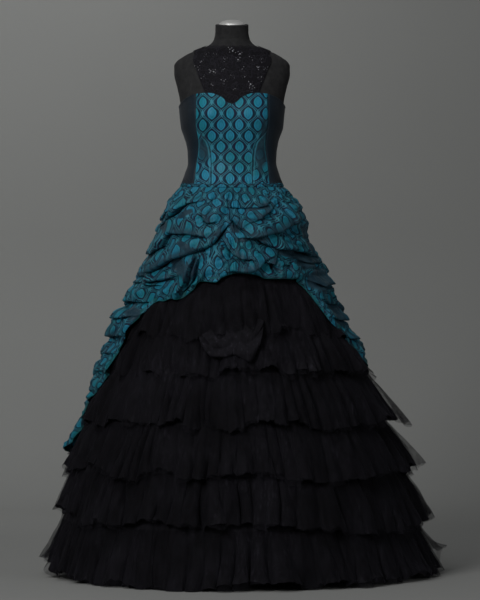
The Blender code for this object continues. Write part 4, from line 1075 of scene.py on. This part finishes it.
princess, gore = 1, 2
bodice_piece("bodice_front_cloth", "bodice_front", seam_angle(princess, -1), seam_angle(princess, 1),
             110, 120, bodice_damask, "damask", (0.22, 0.26))
for side, word in ((-1, "left"), (1, "right")):
    for part, seams, columns, rows, look, slot, cut, grain in (
        ("gore", (seam_angle(princess, side), seam_angle(gore, side)), 26, 120,
         bodice_damask, "damask", (0.045, 0.26, 0.0062), -0.22 * side),
        ("side", (seam_angle(gore, side), straight_seam(side * 90)), 60, 90,
         slate_satin, "slate_satin", (0.105, 0.24), 0.0),
        ("back", (straight_seam(side * 90), straight_seam(side * 177)), 90, 90,
         slate_satin, "slate_satin", (0.20, 0.22), 0.0),
    ):
        node = f"bodice_{part}_{word}"
        bodice_piece(f"{node}_cloth", node, *seams[::side], columns, rows, look, slot, cut, grain)
bodice_piece("placket_cloth", "back_placket", straight_seam(177), straight_seam(183), 12, 90, slate_satin,
             "slate_satin", (0.016, 0.20))


# The yoke is black corded lace on net, in a front and a back that meet on the shoulders and reach up round
# the neck. Its edges follow the scallops of the lace. Jet and crystal beads are sewn over its motifs.

# Share of half the outline, the angle from the centre line in degrees, and the height
YOKE_FRONT = np.array((
    (0.50, 30.0, 1.2855), (0.62, 34.0, 1.3200), (0.74, 38.0, 1.3600), (0.84, 46.0, 1.3890),
    (0.92, 62.0, 1.4005), (1.00, 90.0, 1.4045),
))
YOKE_BACK = np.array((
    (0.50, 37.0, 1.2375), (0.62, 36.0, 1.3000), (0.74, 36.5, 1.3600), (0.84, 46.0, 1.3910),
    (0.92, 62.0, 1.4005), (1.00, 90.0, 1.4045),
))
YOKE_CORNER, YOKE_TOP, YOKE_GAP, LACE_CLOTH = 0.50, 1.4165, 0.0030, 0.0012

lace, net = finish("black_lace", Roughness=0.75, Specular_IOR_Level=0.12)
where = net.at_object()
pushed = net.node("TexNoise", {"Vector": where, "Scale": 45.0}, out=1)
bent = net.node("VectorMath", {0: pushed, 1: (0.012, 0.012, 0.012), 2: where}, operation="MULTIPLY_ADD")
petals = net.node("TexVoronoi", {"Vector": bent, "Scale": 62.0}, feature="F1")
veins = net.node("TexVoronoi", {"Vector": bent, "Scale": 150.0}, feature="DISTANCE_TO_EDGE")
holes = net.node("TexVoronoi", {"Vector": where, "Scale": 480.0}, feature="DISTANCE_TO_EDGE")
motif = petals.ramp(0.62, 0.48)
cord = abs(petals - 0.55).ramp(0.07, 0.03)
thread = veins.ramp(0.10, 0.04) * motif
mesh_line = holes.ramp(0.16, 0.08)
solid = motif.most(cord)
black = motif.mix((0.0110, 0.0104, 0.0135), (0.0068, 0.0064, 0.0086))
net.set(Base_Color=cord.most(thread).mix(black, (0.0210, 0.0200, 0.0260)))
thin = net.mark("thin")
net.set(Alpha=(solid * 0.96 + mesh_line * (1 - solid) * 0.92).most(0.86) - thin * (1 - cord) * 0.55)
net.set(Normal=net.bump(cord * 1.0 + thread * 0.6 + motif * 0.5 + mesh_line * 0.15, 0.0008, 0.8))


def yoke_points(outline, facing, across, down, gap):
    """Places on the yoke: `across` runs from -1 to 1 round its outline, and `down` from its neck to its
    outline, where it lies close to the form."""
    size = np.abs(across)
    on_bodice = size <= YOKE_CORNER
    edge_turn, edge_height = (np.interp(size, outline[:, 0], outline[:, column]) for column in (1, 2))
    turn = np.radians(np.where(on_bodice, size / YOKE_CORNER * outline[0, 1], edge_turn))
    foot = np.where(on_bodice, bodice_top(facing + turn) + 0.002, edge_height)
    turn += (size * math.pi / 2 - turn) * np.clip(1 - down, 0, 1) ** 1.7
    angle = facing + np.sign(across) * np.minimum(turn, math.pi / 2 - 0.002)
    height = YOKE_TOP + (foot - YOKE_TOP) * down
    return off_form(angle, height, gap - 0.0018 * down**8 * (size > YOKE_CORNER))


for word, outline, facing, cut in (
    ("front", YOKE_FRONT, 0.0, (0.26, 0.16)),
    ("back", YOKE_BACK, math.pi, (0.26, 0.19)),
):
    across = np.linspace(-1, 1, 201)[None, :]
    scallop = 0.010 * np.abs(np.sin(across * 34)) * (np.abs(across) > YOKE_CORNER)
    down = np.linspace(0, 1, 61)[:, None]
    neck_scallop = 0.03 * np.abs(np.sin(across * 16)) * (1 - down) ** 6
    reach_down = down * (1 - scallop) + neck_scallop * 0.6
    grid = yoke_points(outline, facing, across + 0 * down, reach_down, YOKE_GAP + LACE_CLOTH - 0.0006)
    at_neck = np.clip(1 - 5 * down, 0, 1) + 0 * across
    at_edge = np.clip(1 - 9 * (1 - down), 0, 1) * (np.abs(across) > YOKE_CORNER)
    thinning = {"thin": np.maximum(at_neck, at_edge)}
    piece = grid_piece(f"yoke_{word}_lace", grid, False, lace, "black_lace", marks=thinning)
    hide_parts(f"lace_yoke_{word}")

# Beads: cut glass, most of them jet, in sprays over the motifs
jet, glass = finish("jet_beads", Roughness=0.18, Specular_IOR_Level=0.9, Coat_Weight=0.6)
spot = glass.noise(glass.at_object(), 300.0, 1.0)
glass.set(Base_Color=spot.ramp(0.4, 0.6).mix((0.010, 0.010, 0.012), (0.10, 0.10, 0.12)))
crystal, clear_glass = finish("crystal_beads", Roughness=0.36, Metallic=0.75, Coat_Weight=1.0)
spot = clear_glass.noise(clear_glass.at_object(), 420.0, 1.0)
clear_glass.set(Base_Color=spot.ramp(0.44, 0.58).mix((0.10, 0.10, 0.12), (0.92, 0.93, 1.0)))


def bead_mesh(places, sizes):
    """Small faceted beads in one mesh: each is an eight-sided barrel of three rings between two tips."""
    turn = np.arange(8) * math.pi / 4
    rings = [(radius * math.cos(way), radius * math.sin(way), up)
             for radius, up in ((0.55, 0.75), (1.0, 0.0), (0.55, -0.75)) for way in turn]
    shape = np.array([(0, 0, 1.0), *rings, (0, 0, -1.0)])
    faces = []
    for k in range(8):
        after = (k + 1) % 8
        faces.append((0, 1 + k, 1 + after))
        for ring in (0, 1):
            a, b = 1 + ring * 8 + k, 1 + ring * 8 + after
            faces += [(a, a + 8, b + 8), (a, b + 8, b)]
        faces.append((25, 17 + after, 17 + k))
    faces = np.array(faces)
    points = np.concatenate([place + shape * size for place, size in zip(places, sizes)])
    return points, np.concatenate([faces + len(shape) * k for k in range(len(places))])


# Middle of each spray, in millimetres from the centre line and above the floor. The first ones hold large
# crystals.
BRIGHT_SPRAYS = 14
SPRAYS = (
    (-5, 1406), (2, 1401), (21, 1393), (-19, 1377), (16, 1376), (-80, 1372), (-56, 1345), (-48, 1342),
    (-24, 1348), (27, 1349), (69, 1355), (-21, 1316), (49, 1308), (53, 1295), (-45, 1390), (52, 1382),
    (-68, 1392), (78, 1378), (-74, 1330), (0, 1330), (34, 1328), (74, 1325), (-50, 1305), (8, 1296),
    (-90, 1356), (88, 1352),
)
random = np.random.default_rng(12)


def on_yoke(x, height, facing, gap):
    return off_form(facing + angle_at(np.array(x), np.array(height)), np.array(height), np.array(gap))


for word, facing in (("front", 0.0), ("back", math.pi)):
    dark_at, dark_size, light_at, light_size = [], [], [], []
    for number, (spray_x, spray_height) in enumerate(SPRAYS):
        petals = random.integers(7, 12)
        large = 0.0008 if number < BRIGHT_SPRAYS else 0.0
        for k in range(petals):
            bend = 2 * math.pi * k / petals + random.uniform(-0.2, 0.2)
            far = random.uniform(0.004, 0.009)
            spot = (spray_x / 1000 + far * math.cos(bend), spray_height / 1000 + far * math.sin(bend))
            bright = k % 3 == 1
            size = random.uniform(0.0006, 0.0010) + 0.4 * large * bright
            (light_at if bright else dark_at).append(on_yoke(*spot, facing, YOKE_GAP + 0.0016))
            (light_size if bright else dark_size).append(size)
        light_at.append(on_yoke(spray_x / 1000, spray_height / 1000, facing, YOKE_GAP + 0.0018))
        light_size.append(random.uniform(0.0008, 0.0013) + large)
    mesh_piece(f"jet_beads_{word}", *bead_mesh(dark_at, dark_size), jet, "black_lace")
    mesh_piece(f"crystal_beads_{word}", *bead_mesh(light_at, light_size), crystal, "black_lace")


# The setting: a seamless pale studio sweep, soft light from the left and above, and the camera
paper, sweep = finish("studio_paper", Roughness=0.9)
mottled = sweep.noise(sweep.at_object(), 1.3, 3.0)
sweep.set(Base_Color=mottled.mix((0.33, 0.335, 0.325), (0.36, 0.365, 0.354)))
profile = [(-9.5, 0.0), (-4.0, 0.0), (0.0, 0.0), (2.2, 0.0)]
profile += [(2.2 + math.sin(bend), 1 - math.cos(bend)) for bend in np.linspace(0.1, math.pi / 2, 14)]
profile += [(3.2, 6.0)]
sweep_points = [(x, y, z) for y, z in profile for x in (-9.0, 9.0)]
sweep_mesh = bpy.data.meshes.new("studio_sweep")
sweep_faces = [(2 * k, 2 * k + 1, 2 * k + 3, 2 * k + 2) for k in range(len(profile) - 1)]
sweep_mesh.from_pydata(sweep_points, [], sweep_faces)
sweep_mesh.shade_smooth()
sweep_mesh.materials.append(paper)
studio_sweep = bpy.data.objects.new("studio_sweep", sweep_mesh)
bpy.context.scene.collection.objects.link(studio_sweep)


def soft_light(name, at, look_at, size, power, colour=(1.0, 1.0, 1.0)):
    lamp = bpy.data.lights.new(name, "AREA")
    lamp.shape, lamp.size, lamp.size_y = "RECTANGLE", size[0], size[1]
    lamp.energy, lamp.color = power, colour
    made = bpy.data.objects.new(name, lamp)
    bpy.context.scene.collection.objects.link(made)
    way = Vector(look_at) - Vector(at)
    made.location, made.rotation_euler = at, way.to_track_quat("-Z", "Y").to_euler()


soft_light("key", (-2.0, -3.9, 2.6), (0, 0, 0.75), (1.5, 1.5), 74)
soft_light("fill", (3.1, -3.4, 1.6), (0, 0, 0.7), (2.2, 2.2), 18)
soft_light("top", (-0.5, -0.6, 3.4), (0, 0, 0.6), (1.6, 1.6), 13)
soft_light("wash", (-2.4, 1.6, 1.9), (-1.2, 3.2, 1.2), (1.4, 1.4), 8)
soft_light("glow", (-0.6, 1.9, 2.8), (-0.36, 3.2, 1.35), (0.9, 0.7), 6.5)
world = bpy.data.worlds.new("studio")
world.use_nodes = True
world.node_tree.nodes["Background"].inputs["Color"].default_value = (0.92, 0.95, 1.0, 1.0)
world.node_tree.nodes["Background"].inputs["Strength"].default_value = 0.035
bpy.context.scene.world = world
bpy.context.scene.view_settings.view_transform = "Standard"

camera = bpy.data.cameras.new("camera")
camera.sensor_fit, camera.sensor_height, camera.lens = "VERTICAL", 36.0, 168.9
camera.clip_end = 40.0
viewer = bpy.data.objects.new("camera", camera)
viewer.location = (AXIS[0] + 0.0216, AXIS[1] - CAMERA_REACH, CAMERA_HEIGHT)
viewer.rotation_euler = (math.pi / 2, 0.0, 0.0)
bpy.context.scene.collection.objects.link(viewer)
bpy.context.scene.camera = viewer
